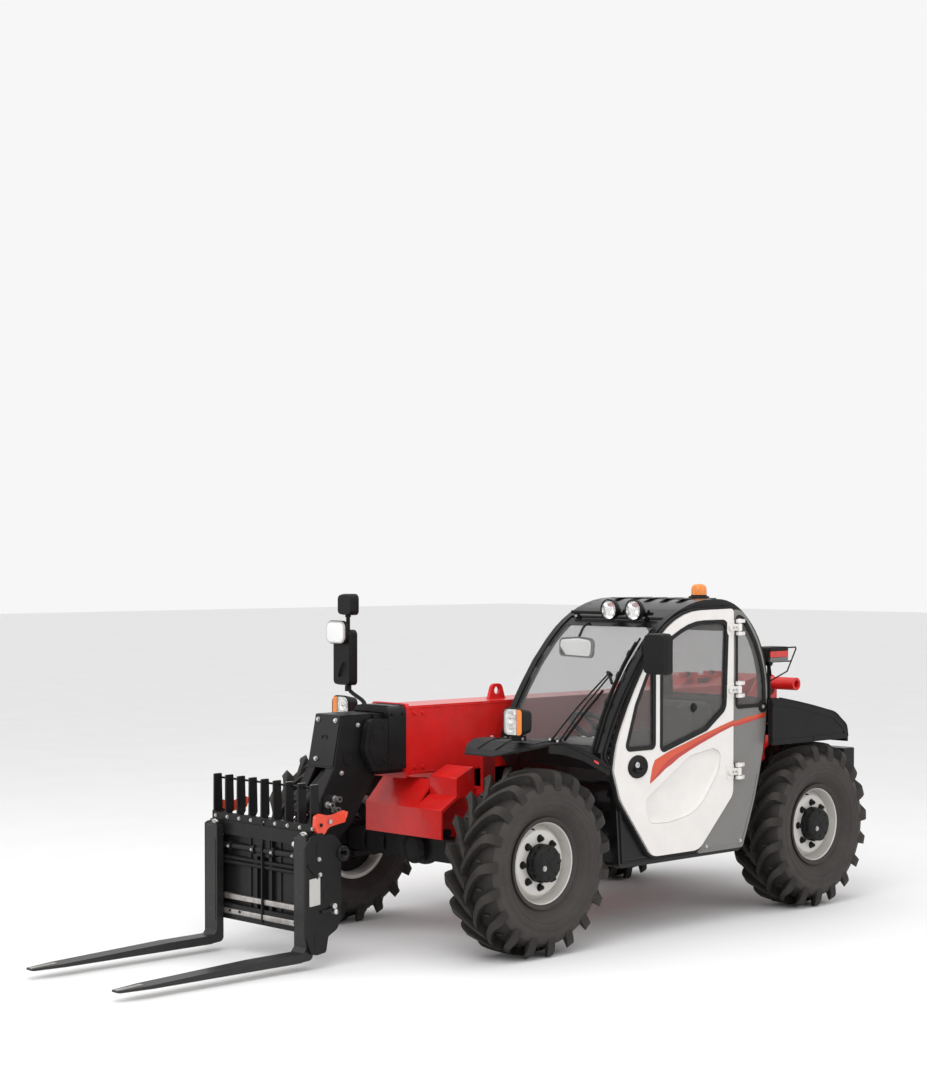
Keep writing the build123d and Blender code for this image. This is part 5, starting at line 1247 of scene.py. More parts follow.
# right mirrors on their bent post: small one on top, round-cornered bright one, tall one below
b = MB()
b.tube([(-100, -650, 1068), (-100, -650, 1150), (-100, -652, 1192), (-100, -680, 1222), (-100, -770, 1262), (-100, -797, 1292), (-100, -800, 1340), (-100, -800, 1560), (-100, -800, 1778)], 11.6, M_PLASTIC, seg=18, smooth=5)
b.prism("yz", [(-865, 1702, 26), (-739, 1702, 26), (-739, 1824, 30), (-865, 1824, 30)], -129, -100, M_PLASTIC, seg=10)
b.prism("yz", [(-865, 1702, 26), (-739, 1702, 26), (-739, 1824, 30), (-865, 1824, 30)], -100, -71, M_PLASTIC, seg=10, top=lambda q: ((q[0] + 802) * 0.88 - 802, (q[1] - 1763) * 0.90 + 1763))
b.prism("yz", [(-857, 1710, 20), (-747, 1710, 20), (-747, 1816, 24), (-857, 1816, 24)], -131.5, -129, M_REFL, seg=10)
b.prism("yz", [(-901, 1301, 26), (-753, 1301, 26), (-753, 1619, 30), (-901, 1619, 30)], -129, -96, M_PLASTIC, seg=10)
b.prism("yz", [(-901, 1301, 26), (-753, 1301, 26), (-753, 1619, 30), (-901, 1619, 30)], -96, -71, M_PLASTIC, seg=10, top=lambda q: ((q[0] + 827) * 0.92 - 827, (q[1] - 1460) * 0.96 + 1460))
b.prism("yz", [(-892, 1310, 20), (-762, 1310, 20), (-762, 1610, 26), (-892, 1610, 26)], -131.5, -129, M_REFL, seg=10)
# bright wide-angle mirror in front of it; its face is partly diffuse near-white, a painted reflection
b.prism("yz", [(-919, 1539, 40), (-753, 1539, 40), (-753, 1671, 40), (-919, 1671, 40)], -61, -42, M_PLASTIC, seg=10)
b.prism("yz", [(-915, 1543, 38), (-757, 1543, 38), (-757, 1667, 38), (-915, 1667, 38)], -42.2, -33, M_PALE_PLATE, seg=10)
# mirror face: partly painted reflection
b.prism("yz", [(-907, 1551, 32), (-765, 1551, 32), (-765, 1659, 32), (-907, 1659, 32)], -33.2, -31, M_MIRROR, seg=10)
b.cyl((-74, -800, 1580), (-60, -800, 1580), 17, M_PLASTIC, seg=24)
b.tube([(-72, -842, 1350), (-62, -842, 1362), (-60, -826, 1392), (-60, -812, 1420), (-72, -808, 1432)], 6, M_PLASTIC, seg=12)
b.cyl((-100, -800, 1268), (-100, -800, 1300), 19, M_PLASTIC, seg=28)
for zz in (1286, 1420, 1560, 1700, 1760):
    b.cyl((-100, -800, zz - 9), (-100, -800, zz + 9), 16.5, M_PLASTIC, seg=24)
b.cyl((-100, -650, 1070), (-100, -650, 1088), 30, M_PLASTIC, r2=22, seg=28)
for t in range(4):
    b.hexbolt((-100 + 22 * math.cos(t * 1.571 + 0.78), -650 + 22 * math.sin(t * 1.571 + 0.78), 1076), (0, 0, 1), 8, 5, M_ZINC)
b.make("mesh_mirror_right", "chassis", bevel=1.8, seg=2, slot="black_plastic", replaces=("mirror_right",), angle=30)

# lamp rail on the roof with two round work lights
b = MB()
b.tube([(-995, 112, 1722), (-995, 300, 1722), (-995, 718, 1722)], 9.5, M_PLASTIC, seg=16, smooth=0)
for yy in (150, 660):
    b.tube([(-995, yy, 1722), (-1002, yy, 1702), (-1008, yy, 1684)], 0, M_PLASTIC, flat=(34, 8, (1, 0, 0)), smooth=0)
    b.hexbolt((-990, yy, 1700), (0.8, 0, 0.6), 13, 6, M_ZINC)
for ly in (475, 655):
    b.lathe([(0, -954), (30, -954), (48, -946), (57, -930), (59.5, -908), (59.5, -901), (54, -899.5), (52, -903), (50, -908)], (0, ly, 1742), (1, 0, 0), M_PLASTIC, seg=56, closed=False)
    b.lathe([(50.5, -908), (40, -928), (20, -938), (0, -940)], (0, ly, 1742), (1, 0, 0), M_REFL, seg=56, closed=False)
    b.lathe([(52, -903), (40, -900.5), (20, -899), (0, -898.5)], (0, ly, 1742), (1, 0, 0), M_LENS, seg=56, closed=False)
    b.sphere((-926, ly, 1742), 9, M_LENS, seg=20, rings=10)
    b.box(-990, -952, ly - 16, ly + 16, 1716, 1746, M_PLASTIC)
    for k in range(5):
        t = math.pi * (0.25 + 0.125 * k)
        b.box(-953, -930, ly - 1.5 + 44 * math.cos(t), ly + 1.5 + 44 * math.cos(t), 1742 + 34 * math.sin(t), 1742 + 48 * math.sin(t), M_PLASTIC)
    b.tube([(-962, ly - 60, 1742), (-966, ly - 62, 1722), (-978, ly, 1716), (-966, ly + 62, 1722), (-962, ly + 60, 1742)], 0, M_PLASTIC, flat=(18, 4, (1, 0, 0)), smooth=3)
b.make("mesh_roof_lights", "chassis", bevel=1.0, seg=2, slot="black_plastic", replaces=("roof_lights",), angle=35)

b = MB()
b.lathe([(0, 1775), (60, 1775), (60, 1806), (55, 1812), (46, 1812)], (-1532, 600, 0), (0, 0, 1), M_PLASTIC, seg=56, closed=False)
b.lathe([(44, 1811), (43.5, 1850), (40, 1867), (30, 1877), (14, 1881), (0, 1881.6)], (-1532, 600, 0), (0, 0, 1), M_AMBER, seg=56, closed=False)
for k in range(12):
    t = math.tau * k / 12
    c = (-1532 + 43.4 * math.cos(t), 600 + 43.4 * math.sin(t))
    b.tube([(c[0], c[1], 1813), (c[0], c[1], 1848), (-1532 + 39 * math.cos(t), 600 + 39 * math.sin(t), 1867)], 1.3, M_AMBER, seg=6)
b.lathe([(46, 1812), (46, 1818), (44, 1819)], (-1532, 600, 0), (0, 0, 1), M_PLASTIC, seg=56, closed=False)
b.make("mesh_beacon", "chassis", bevel=0.8, seg=2, slot="amber", replaces=("beacon",), angle=35)

# rear light: black top, red middle, clear foot, wire guard, stem
b = MB()
b.prism("xz", [(-2349, 1409, 10), (-2161, 1409, 10), (-2161, 1501, 16), (-2349, 1501, 16)], 501, 612, M_PLASTIC, seg=8)
b.prism("xz", [(-2340, 1440, 6), (-2170, 1440, 6), (-2170, 1476, 6), (-2340, 1476, 6)], 612, 619.4, M_REDLENS)
b.prism("xz", [(-2340, 1414, 6), (-2170, 1414, 6), (-2170, 1438, 6), (-2340, 1438, 6)], 612, 619.0, M_LENS)
b.prism("xz", [(-2340, 1478, 6), (-2170, 1478, 6), (-2170, 1494, 6), (-2340, 1494, 6)], 612, 618.4, M_PLASTIC)
b.prism("yz", [(508, 1414, 6), (604, 1414, 6), (604, 1450, 6), (508, 1450, 6)], -2354, -2349, M_REDLENS)
b.prism("yz", [(508, 1452, 6), (604, 1452, 6), (604, 1494, 6), (508, 1494, 6)], -2354, -2349, M_AMBER)
# bent wire guard behind it
b.tube([(-2346, 604, 1494), (-2432, 604, 1494), (-2436, 604, 1486), (-2350, 604, 1352), (-2236, 572, 1300)], 4.5, M_PLASTIC, seg=10, smooth=0)
b.tube([(-2346, 604, 1412), (-2390, 604, 1412)], 4.5, M_PLASTIC, seg=10, smooth=0)
b.tube([(-2180, 604, 1408), (-2236, 572, 1330)], 4.5, M_PLASTIC, seg=10, smooth=0)
b.tube([(-2230, 560, 1158), (-2230, 560, 1410)], 12, M_PLASTIC, seg=18, smooth=0)
b.cyl((-2230, 560, 1168), (-2230, 560, 1182), 32, M_PLASTIC, r2=24, seg=28)
b.cyl((-2230, 560, 1388), (-2230, 560, 1409), 20, M_PLASTIC, r2=26, seg=28)
b.make("mesh_rear_light", "chassis", bevel=1.2, seg=2, slot="black_plastic", replaces=("rear_light",), angle=30)

# rear fender: rolled edge, ribs, bolts, red bracket and its knob
b = MB()
RT = [(-1895, 1227), (-1990, 1211), (-2110, 1189), (-2229, 1165), (-2335, 1141), (-2425, 1119), (-2490, 1076), (-2540, 1036), (-2556, 970)]
b.tube([(q[0], 899, q[1]) for q in RT], 4, M_PLASTIC, seg=10, smooth=4)
for yy in (330, 640, 780):
    b.tube([(q[0], yy, q[1] + 0.6) for q in RT[:-2]], 3.4, M_PLASTIC, seg=8, smooth=4)
b.prism("xz", [(-1826, 968, 16), (-1826, 1214, 16), (-1990, 1196, -1), (-2229, 1150, -1), (-2419, 1104, 50), (-2532, 1028, 30), (-2546, 966, 8)], 899.5, 902.5, M_PLASTIC, holes=[[(-1846, 988, 16), (-1846, 1190, 16), (-1990, 1174, -1), (-2225, 1128, -1), (-2408, 1084, 40), (-2508, 1014, 30), (-2520, 988, 8)]])
for xx, zz in ((-1836, 990), (-1836, 1190), (-2220, 976), (-2520, 990)):
    b.hexbolt((xx, 900, zz), (0, 1, 0), 13, 5, M_PLASTIC)
# bright orange-red stay under the fender, with its knob
b.tube([(-1880, 560, 985), (-1960, 600, 1040), (-2120, 620, 1052), (-2290, 640, 1040)], 0, M_ORANGE, flat=(44, 9, (0, 0, 1)), smooth=4)
b.tube([(-1880, 560, 985), (-1872, 500, 900), (-1872, 420, 800), (-1872, 260, 760)], 0, M_ORANGE, flat=(40, 9, (1, 0, 0)), smooth=4)
b.lathe([(0, 62), (14, 60), (24, 50), (26, 36), (18, 24), (10, 18), (9, 0)], (-1990, 700, 1206), (0, 0, 1), M_PLASTIC, seg=32, closed=False)
b.make("mesh_fender_rear", "chassis", bevel=1.2, seg=2, slot="black_plastic", angle=35)
# ---------------------------------------------------------------- seat
CY = 445.0


def pad(name, outline, y0, y1, r_side, nodes, seams, cap=0.024, lead=0.0):
    """A stuffed cushion: a rounded block, swollen with cloth under pressure, with piped seams sewn on afterwards."""
    b = MB()
    prof = rounded(outline, 8)
    cx, cz = sum(p[0] for p in prof) / len(prof), sum(p[1] for p in prof) / len(prof)
    ys = [y0, y0 + 8, y0 + 26, (y0 * 3 + y1) / 4, (y0 + y1) / 2, (y0 + y1 * 3) / 4, y1 - 26, y1 - 8, y1]
    ks = [0.80, 0.90, 0.975, 1.0, 1.0, 1.0, 0.975, 0.90, 0.80]
    n = len(prof)
    vs = [(cx + (p[0] - cx) * k, y, cz + (p[1] - cz) * k) for y, k in zip(ys, ks) for p in prof]
    fs = [(i * n + j, i * n + (j + 1) % n, (i + 1) * n + (j + 1) % n, (i + 1) * n + j) for i in range(len(ys) - 1) for j in range(n)]
    fs += [tuple(range(n)), tuple(range((len(ys) - 1) * n, len(ys) * n))[::-1]]
    b.add(vs, fs, M_FABRIC)
    o = b.make(name, "chassis", bevel=0, slot="seat_fabric", replaces=nodes, angle=60)
    bpy.context.view_layer.update()
    rm = o.modifiers.new("remesh", "REMESH")
    rm.mode = "VOXEL"
    rm.voxel_size = 0.009
    rm.use_smooth_shade = True
    dg = bpy.context.evaluated_depsgraph_get()
    me = bpy.data.meshes.new_from_object(o.evaluated_get(dg))
    o.modifiers.remove(rm)
    o.data = me
    rest = np.array([v.co[:] for v in me.vertices])
    cl = o.modifiers.new("cloth", "CLOTH")
    st = cl.settings
    st.quality = 4
    st.mass = 0.3
    st.tension_stiffness = st.compression_stiffness = 12
    st.bending_stiffness = 0.6
    st.use_pressure = True
    st.uniform_pressure_force = 4
    st.effector_weights.gravity = 0
    cl.point_cache.frame_start, cl.point_cache.frame_end = 1, 20
    sc = bpy.context.scene
    for f in range(1, 21):
        sc.frame_set(f)
    dg = bpy.context.evaluated_depsgraph_get()
    ev = o.evaluated_get(dg).to_mesh()
    new = np.array([v.co[:] for v in ev.vertices])
    o.evaluated_get(dg).to_mesh_clear()
    o.modifiers.remove(cl)
    sc.frame_set(1)
    d = new - rest
    ln = np.linalg.norm(d, axis=1, keepdims=True)
    d *= np.minimum(1.0, cap / np.maximum(ln, 1e-9))
    res = rest + d
    for v, p in zip(o.data.vertices, res):
        v.co = p
    o.data.materials.clear()
    o.data.materials.append(M_FABRIC)
    o.data.update()
    sub = o.modifiers.new("sub", "SUBSURF")
    sub.levels = sub.render_levels = 1
    s = MB()
    for loop in seams:
        s.tube(loop, 3.0, M_SEATPL, seg=8, smooth=4, closed=True)
    w = s.make(name + "_piping", "chassis", bevel=0, slot="seat_fabric", angle=60)
    return o


def on_pad(o, pts, d, lift=1.5):
    """Follows the cushion's surface: rays along d onto it, for the piping."""
    from mathutils.bvhtree import BVHTree
    bpy.context.view_layer.update()
    t = BVHTree.FromObject(o, bpy.context.evaluated_depsgraph_get())
    out = []
    dv = Vector(d).normalized()
    inv = o.matrix_world.inverted()
    for p in pts:
        w = W(p)
        hit = t.ray_cast(inv @ (w - dv * 0.3), (inv.to_3x3() @ dv).normalized())
        if hit[0] is not None:
            q = o.matrix_world @ hit[0] - dv * (lift / 1000)
            out.append(Vector((q.x * 1000 + SX, q.y * 1000 + SY, q.z * 1000 - LZ)))
    return out


cush = [(-1548, 655, 24), (-1548, 722, 30), (-1300, 740, 200), (-1092, 752, 36), (-1092, 690, 30), (-1140, 655, 24)]
back = [(-1556, 752, 24), (-1470, 752, 24), (-1492, 900, 200), (-1548, 1226, 30), (-1628, 1226, 34), (-1590, 1000, 200)]
c1 = pad("mesh_seat_cushion", cush, 222, 668, 40, ("seat_cushion",), [], cap=0.022)
c2 = pad("mesh_seat_back", back, 236, 654, 40, ("seat_back",), [], cap=0.022)
for nm in ("mesh_seat_cushion_piping", "mesh_seat_back_piping"):
    bpy.data.objects.remove(bpy.data.objects[nm], do_unlink=True)
s = MB()
for y_ in (308, 582):
    for o_, line, d in ((c1, [(x, y_, 900) for x in range(-1500, -1110, 26)], (0, 0, -1)), (c2, [(-1300, y_, z) for z in range(800, 1190, 26)], (-1, 0, 0))):
        q = on_pad(o_, line, d)
        if len(q) > 2:
            s.tube(q, 2.6, M_SEATPL, seg=8, smooth=3)
for o_, rows, d in ((c1, [[(x, y, 900) for y in range(312, 582, 22)] for x in (-1420, -1330, -1240)], (0, 0, -1)), (c2, [[(-1300, y, z) for y in range(312, 582, 22)] for z in (880, 980, 1080)], (-1, 0, 0))):
    for line in rows:
        q = on_pad(o_, line, d, 0.6)
        if len(q) > 2:
            s.tube(q, 1.8, M_SEATPL, seg=8, smooth=3)
s.make("mesh_seat_seams", "chassis", bevel=0, slot="seat_fabric", angle=60)

# seat shell, suspension base with its bellows, belt, armrest with levers
b = MB()
b.prism("xz", [(-1634, 760, 24), (-1600, 740, 24), (-1580, 760, 20), (-1612, 1000, 200), (-1640, 1226, 24), (-1654, 1220, 20)], 232, 658, M_SEATPL)
b.prism("xz", [(-1560, 640, 14), (-1080, 640, 14), (-1080, 660, 12), (-1560, 660, 12)], 216, 674, M_SEATPL)
for k in range(6):
    z0 = 420 + k * 34
    b.prism("xy", [(-1490 + (k % 2) * 8, 262 + (k % 2) * 8, 30), (-1190 - (k % 2) * 8, 262 + (k % 2) * 8, 30), (-1190 - (k % 2) * 8, 628 - (k % 2) * 8, 30), (-1490 + (k % 2) * 8, 628 - (k % 2) * 8, 30)], z0, z0 + 32, M_RUBSEAL)
b.prism("xy", [(-1500, 256, 12), (-1180, 256, 12), (-1180, 634, 12), (-1500, 634, 12)], 396.5, 420, M_SEATPL)
b.prism("xy", [(-1500, 256, 12), (-1180, 256, 12), (-1180, 634, 12), (-1500, 634, 12)], 622, 640, M_SEATPL)
b.make("mesh_seat_frame", "chassis", bevel=2.5, seg=2, slot="black_plastic", replaces=("seat_base",), angle=35)
b = MB()
for y_ in (206, 684):
    b.prism("xz", [(-1540, 700, 10), (-1500, 700, 10), (-1492, 742, 16), (-1520, 752, 12), (-1546, 742, 12)], y_ - 8, y_ + 8, M_PLASTIC)
b.box(-1528, -1504, 676, 700, 742, 800, M_ORANGE)
b.prism("xz", [(-1580, 930, 24), (-1250, 946, 30), (-1190, 930, 26), (-1200, 898, 20), (-1580, 892, 20)], 176, 226, M_SEATPL)
for k, (xx, yy) in enumerate(((-1232, 190), (-1232, 212), (-1276, 201))):
    b.cyl((xx, yy, 938), (xx, yy, 988), 5, M_STEEL, r2=4, seg=16)
    b.sphere((xx, yy, 998), 15, M_SEATPL if k else M_PLASTIC, seg=20, rings=12, sc=(1, 1, 1.25))
# right-hand side console, pale switches and its lever
b.prism("xz", [(-1500, 640, 10), (-1500, 850, 30), (-1050, 880, 50), (-980, 820, 40), (-980, 640, 10)], 104, 168, M_LINING)
for k in range(5):
    b.box(-1420 + k * 60, -1386 + k * 60, 120, 152, 853 + k * 4, 864 + k * 4, M_PALE_PLATE)
b.tube([(-1060, 136, 870), (-1052, 138, 930), (-1040, 140, 990)], 8, M_PLASTIC, seg=14)
b.sphere((-1036, 141, 1012), 24, M_PLASTIC, seg=24, rings=14, sc=(0.9, 0.9, 1.35))
b.make("mesh_seat_controls", "chassis", bevel=2.2, seg=2, slot="black_plastic", angle=35)

# ---------------------------------------------------------------- steering column, dash, pedals, wheel
b = MB()
b.prism("xz", [(-642, 398, 16), (-838, 398, 16), (-780, 758, 60), (-724, 982, 24), (-642, 982, 30), (-642, 560, 60)], CY - 108, CY + 108, M_PLASTIC)
b.prism("xz", [(-700, 985, 10), (-740, 975, 10), (-800, 1004, 20), (-778, 1042, 20), (-700, 1030, 20)], CY - 96, CY + 96, M_LINING)
T = Matrix.Translation((-786, CY, 1020)) @ Matrix.Rotation(math.radians(-36), 4, "Y")
b.T = T
b.box(-26, 26, -70, 70, 2, 8, M_PLASTIC)
for yy in (-38, 38):
    b.lathe([(27, 6), (27, 12), (24, 12), (22, 9), (0, 9)], (0, yy, 0), (0, 0, 1), M_STEEL, seg=40, closed=False)
b.T = None
b.tube([(-735, CY, 905), (-790, CY, 985), (-848, CY, 1058)], 22, M_PLASTIC, seg=24)
b.tube([(-770, CY + 20, 975), (-790, CY + 120, 1010), (-800, CY + 190, 1020)], 6, M_PLASTIC, seg=12)
b.sphere((-802, CY + 200, 1022), 13, M_PLASTIC, seg=18, rings=10)
b.tube([(-770, CY - 20, 975), (-790, CY - 120, 1010), (-800, CY - 190, 1020)], 6, M_PLASTIC, seg=12)
b.sphere((-802, CY - 200, 1022), 13, M_PLASTIC, seg=18, rings=10)
for yy in (CY - 170, CY + 140, CY + 215):
    b.box(-800, -740, yy - 28, yy + 28, 470, 478, M_RUBSEAL, R=Matrix.Rotation(math.radians(48), 3, "Y"))
    b.tube([(-760, yy, 470), (-690, yy, 520), (-650, yy, 620)], 7, M_AXLE, seg=12)
for k in range(9):
    b.box(-1380 + k * 62, -1340 + k * 62, 200, 780, 397, 400.5, M_RUBSEAL)
b.make("mesh_column", "chassis", bevel=2.5, seg=2, slot="black_plastic", replaces=("console",), angle=35)
b = MB()
b.T = Matrix.Translation((-862, CY, 1076)) @ Matrix.Rotation(math.radians(-36), 4, "Y")
ringp = [(165 * math.cos(math.tau * i / 40), 165 * math.sin(math.tau * i / 40), 0) for i in range(40)]
b.tube(ringp, 13.6, M_PLASTIC, seg=20, smooth=2, closed=True)
for a in (0, 120, 240):
    t = math.radians(a)
    u_, v_ = Vector((math.cos(t), math.sin(t), 0)), Vector((-math.sin(t), math.cos(t), 0))
    b.tube([u_ * 30 + Vector((0, 0, -4)), u_ * 90 + Vector((0, 0, -3)), u_ * 158], 0, M_PLASTIC, flat=(26, 9, (0, 0, 1)), smooth=4)
b.lathe([(0, 15), (20, 15), (34, 12), (42, 4), (42, -8), (30, -15), (0, -15)], (0, 0, 0), (0, 0, 1), M_PLASTIC, seg=44, closed=False)
k_ = Vector((math.cos(2.2), math.sin(2.2), 0)) * 158
b.cyl(k_ + Vector((0, 0, 8)), k_ + Vector((0, 0, 30)), 7, M_STEEL, seg=16)
b.sphere(k_ + Vector((0, 0, 44)), 20, M_PLASTIC, seg=24, rings=14)
b.make("mesh_steering_wheel", "chassis", bevel=1.2, seg=2, slot="black_plastic", replaces=("steering_wheel",), angle=35)
# ---------------------------------------------------------------- engine side, tail, chassis
b = MB()
YS = -855.0
# hood: pressed panel line, louvre rows, latch handles, seams on top
b.tube([(-640, YS - 0.4, 730), (-640, YS - 0.4, 985), (-1150, YS - 0.4, 1052), (-2340, YS - 0.4, 1122), (-2560, YS - 0.4, 1248), (-2850, YS - 0.4, 1250), (-2896, YS - 0.4, 985), (-1860, YS - 0.4, 985), (-1770, YS - 0.4, 730)], 2.6, M_RED, seg=8, smooth=0, closed=True)
b.prism("xz", [(-760, 760, 24), (-760, 960, 40), (-1120, 1008, 40), (-1580, 1032, 40), (-1640, 760, 24)], YS - 3, YS + 0.4, M_BLACK)
for k in range(13):
    xx = -800 - k * 62
    top = 940 + (760 + xx) * -0.10
    b.prism("xy", [(xx - 4, YS - 3), (xx - 44, YS - 3), (xx - 44, YS - 16, 4), (xx - 36, YS - 18, 4)], 792, min(top, 990), M_BLACK)
for xx, zz in ((-700, 760), (-1720, 900)):
    b.prism("xz", [(xx - 34, zz - 18, 10), (xx + 34, zz - 18, 10), (xx + 34, zz + 18, 10), (xx - 34, zz + 18, 10)], YS - 6, YS, M_PLASTIC)
    b.tube([(xx - 22, YS - 6, zz), (xx - 20, YS - 18, zz), (xx + 20, YS - 18, zz), (xx + 22, YS - 6, zz)], 5, M_PLASTIC, seg=10)
for k in range(7):
    xx = -2080 - k * 74
    b.prism("xz", [(xx, 1006, 8), (xx - 40, 1006, 8), (xx - 40, 1086 + k * 9, 8), (xx, 1082 + k * 9, 8)], YS - 4, YS, M_BLACK)
for k in range(9):
    xx = -1300 - k * 88
    zt = 1080 + (-1150 - xx) * 0.0583
    b.box(xx - 28, xx + 28, -760, -440, zt - 1, zt + 5, M_BLACK)
    b.box(xx - 20, xx + 20, -748, -452, zt + 4, zt + 8, M_BLACK)
for x0 in (-2840, -2600):
    b.cyl((x0 + 44, -334, 1292), (x0 + 72, -334, 1292), 14.4, M_BLACK, seg=28, inner=9)
b.make("mesh_hood_trim", "hood", bevel=1.4, seg=2, slot="body_red", angle=32)

# silencer outlet, filters and belt side of the engine, seen when the hood is open
b = MB()
b.prism("xz", [(-1660, 700, 20), (-940, 700, 20), (-940, 900, 30), (-1000, 936, 20), (-1640, 936, 20)], -794, -786, M_AXLE)
for k in range(4):
    xx = -1080 - k * 150
    b.cyl((xx, -600, 938), (xx, -600, 957), 46, M_AXLE, r2=40, seg=36)
    b.hexbolt((xx, -600, 957), (0, 0, 1), 20, 9, M_ZINC)
    b.tube([(xx, -560, 945), (xx, -480, 958), (xx, -420, 944)], 5, M_ZINC, seg=10)
b.cyl((-1000, -806, 620), (-1000, -780, 620), 62, M_PALE_PLATE, seg=44)
b.cyl((-1000, -818, 620), (-1000, -806, 620), 30, M_AXLE, seg=36)
b.cyl((-1240, -812, 640), (-1240, -788, 640), 84, M_AXLE, seg=48, inner=60)
b.cyl((-1240, -806, 640), (-1240, -788, 640), 40, M_AXLE, seg=36)
b.cyl((-1480, -812, 600), (-1480, -788, 600), 52, M_AXLE, seg=44, inner=30)
for k in range(6):
    b.box(-1680 + k * 130, -1660 + k * 130, -792, -786, 500, 690, M_AXLE)
b.make("mesh_engine_parts", "chassis", bevel=1.6, seg=2, slot="axle_black", angle=32)

# tail: frames on the counterweight faces, tail lamps, bolts, a plate; tow pin
b = MB()
for s in (1, -1):
    y0, y1 = sorted((s * 330, s * 620))
    b.prism("yz", [(y0, 590, 22), (y1, 590, 40), (y1, 830, 40), (y0, 830, 22)], -2987, -2984, M_BLACK, holes=[[(y0 + 18, 608, 14), (y1 - 18, 608, 26), (y1 - 18, 812, 26), (y0 + 18, 812, 14)]])
    b.prism("yz", [(s * 480 - 70, 690, 12), (s * 480 + 70, 690, 12), (s * 480 + 70, 760, 12), (s * 480 - 70, 760, 12)], -2994, -2985, M_PLASTIC)
    b.prism("yz", [(s * 480 - 62, 698, 8), (s * 480 + 4, 698, 8), (s * 480 + 4, 752, 8), (s * 480 - 62, 752, 8)], -2998, -2994, M_REDLENS)
    b.prism("yz", [(s * 480 + 10, 698, 8), (s * 480 + 62, 698, 8), (s * 480 + 62, 752, 8), (s * 480 + 10, 752, 8)], -2998, -2994, M_AMBER)
    for zz in (620, 800):
        b.hexbolt((-2985, s * 250, zz), (-1, 0, 0), 30, 16, M_BLACK)
b.prism("yz", [(-120, 760, 8), (120, 760, 8), (120, 830, 8), (-120, 830, 8)], -2989, -2985, M_PALE_PLATE)
b.cyl((-3025, 0, 575), (-3025, 0, 716), 12.5, M_STEEL, seg=28)
b.cyl((-3025, 0, 712), (-3025, 0, 722), 22, M_STEEL, r2=18, seg=28)
b.tube([(-3025, 0, 722), (-3010, 0, 748), (-3025, 0, 764), (-3040, 0, 748), (-3025, 0, 722)], 4, M_STEEL, seg=10)
for yy in (-60, 60):
    b.hexbolt((-3000, yy, 590), (-1, 0, 0), 18, 10, M_ZINC)
    b.hexbolt((-3000, yy, 682), (-1, 0, 0), 18, 10, M_ZINC)
b.make("mesh_tail", "chassis", bevel=1.8, seg=2, slot="black_paint", angle=32)

# frame: weld beads, bolts, the pin ends of the boom and of the lift cylinder
b = MB()
for y0, sy in ((57.0, 1), (-317.0, -1)):
    for xx, zz in ((150, 650), (60, 640), (-330, 520), (-420, 430), (-1880, 430), (-1960, 500), (-2620, 700), (-2700, 820)):
        b.cyl((xx, y0, zz), (xx, y0 + sy * 3, zz), 18, M_RED, seg=28)
        b.hexbolt((xx, y0 + sy * 3, zz), (0, sy, 0), 22, 11, M_ZINC)
    b.tube([(-430, y0 + sy * 1, 402), (-1900, y0 + sy * 1, 402)], 4, M_RED, seg=8, smooth=0)
    b.tube([(-430, y0 + sy * 1, 548), (-1950, y0 + sy * 1, 548)], 4, M_RED, seg=8, smooth=0)
    b.lathe([(64, 0), (64, 9), (56, 12), (40, 12), (36, 9), (36, 0)], (-2880, y0, 1200), (0, sy, 0), M_RED, seg=56, closed=True)
    b.lathe([(0, 12), (20, 12), (32, 10), (35, 6), (35, 0)], (-2880, y0, 1200), (0, sy, 0), M_BLACK, seg=48, closed=False)
    b.lathe([(0, 11), (16, 11), (23, 8), (25, 0)], (-2780, y0, 750), (0, sy, 0), M_BLACK, seg=40, closed=False)
    b.lathe([(46, 0), (46, 6), (38, 8), (26, 6), (26, 0)], (-2780, y0, 750), (0, sy, 0), M_RED, seg=48, closed=True)
b.make("mesh_frame_trim", "chassis", bevel=1.6, seg=2, slot="body_red", angle=32)
b = MB()
# steel pipes under the cab and along the frame
for k in range(3):
    z = 432 + k * 22
    b.tube([(-460, 66 - 0, z), (-900, 66, z), (-1500, 66, z), (-1900, 66, z + 20)], 6, M_ZINC, seg=10, smooth=2)
for xx in (-600, -1000, -1400, -1800):
    b.box(xx - 12, xx + 12, 58, 76, 422, 496, M_BLACK)
# tank cap and drain, under the cab
b.cyl((-700, 440, 366), (-700, 440, 371), 60, M_BLACK, seg=40)
for k in range(6):
    t = math.tau * k / 6
    b.hexbolt((-700 + 48 * math.cos(t), 440 + 48 * math.sin(t), 366), (0, 0, -1), 12, 6, M_ZINC)
b.make("mesh_under_pipes", "chassis", bevel=1.4, seg=2, slot="black_paint", angle=32)

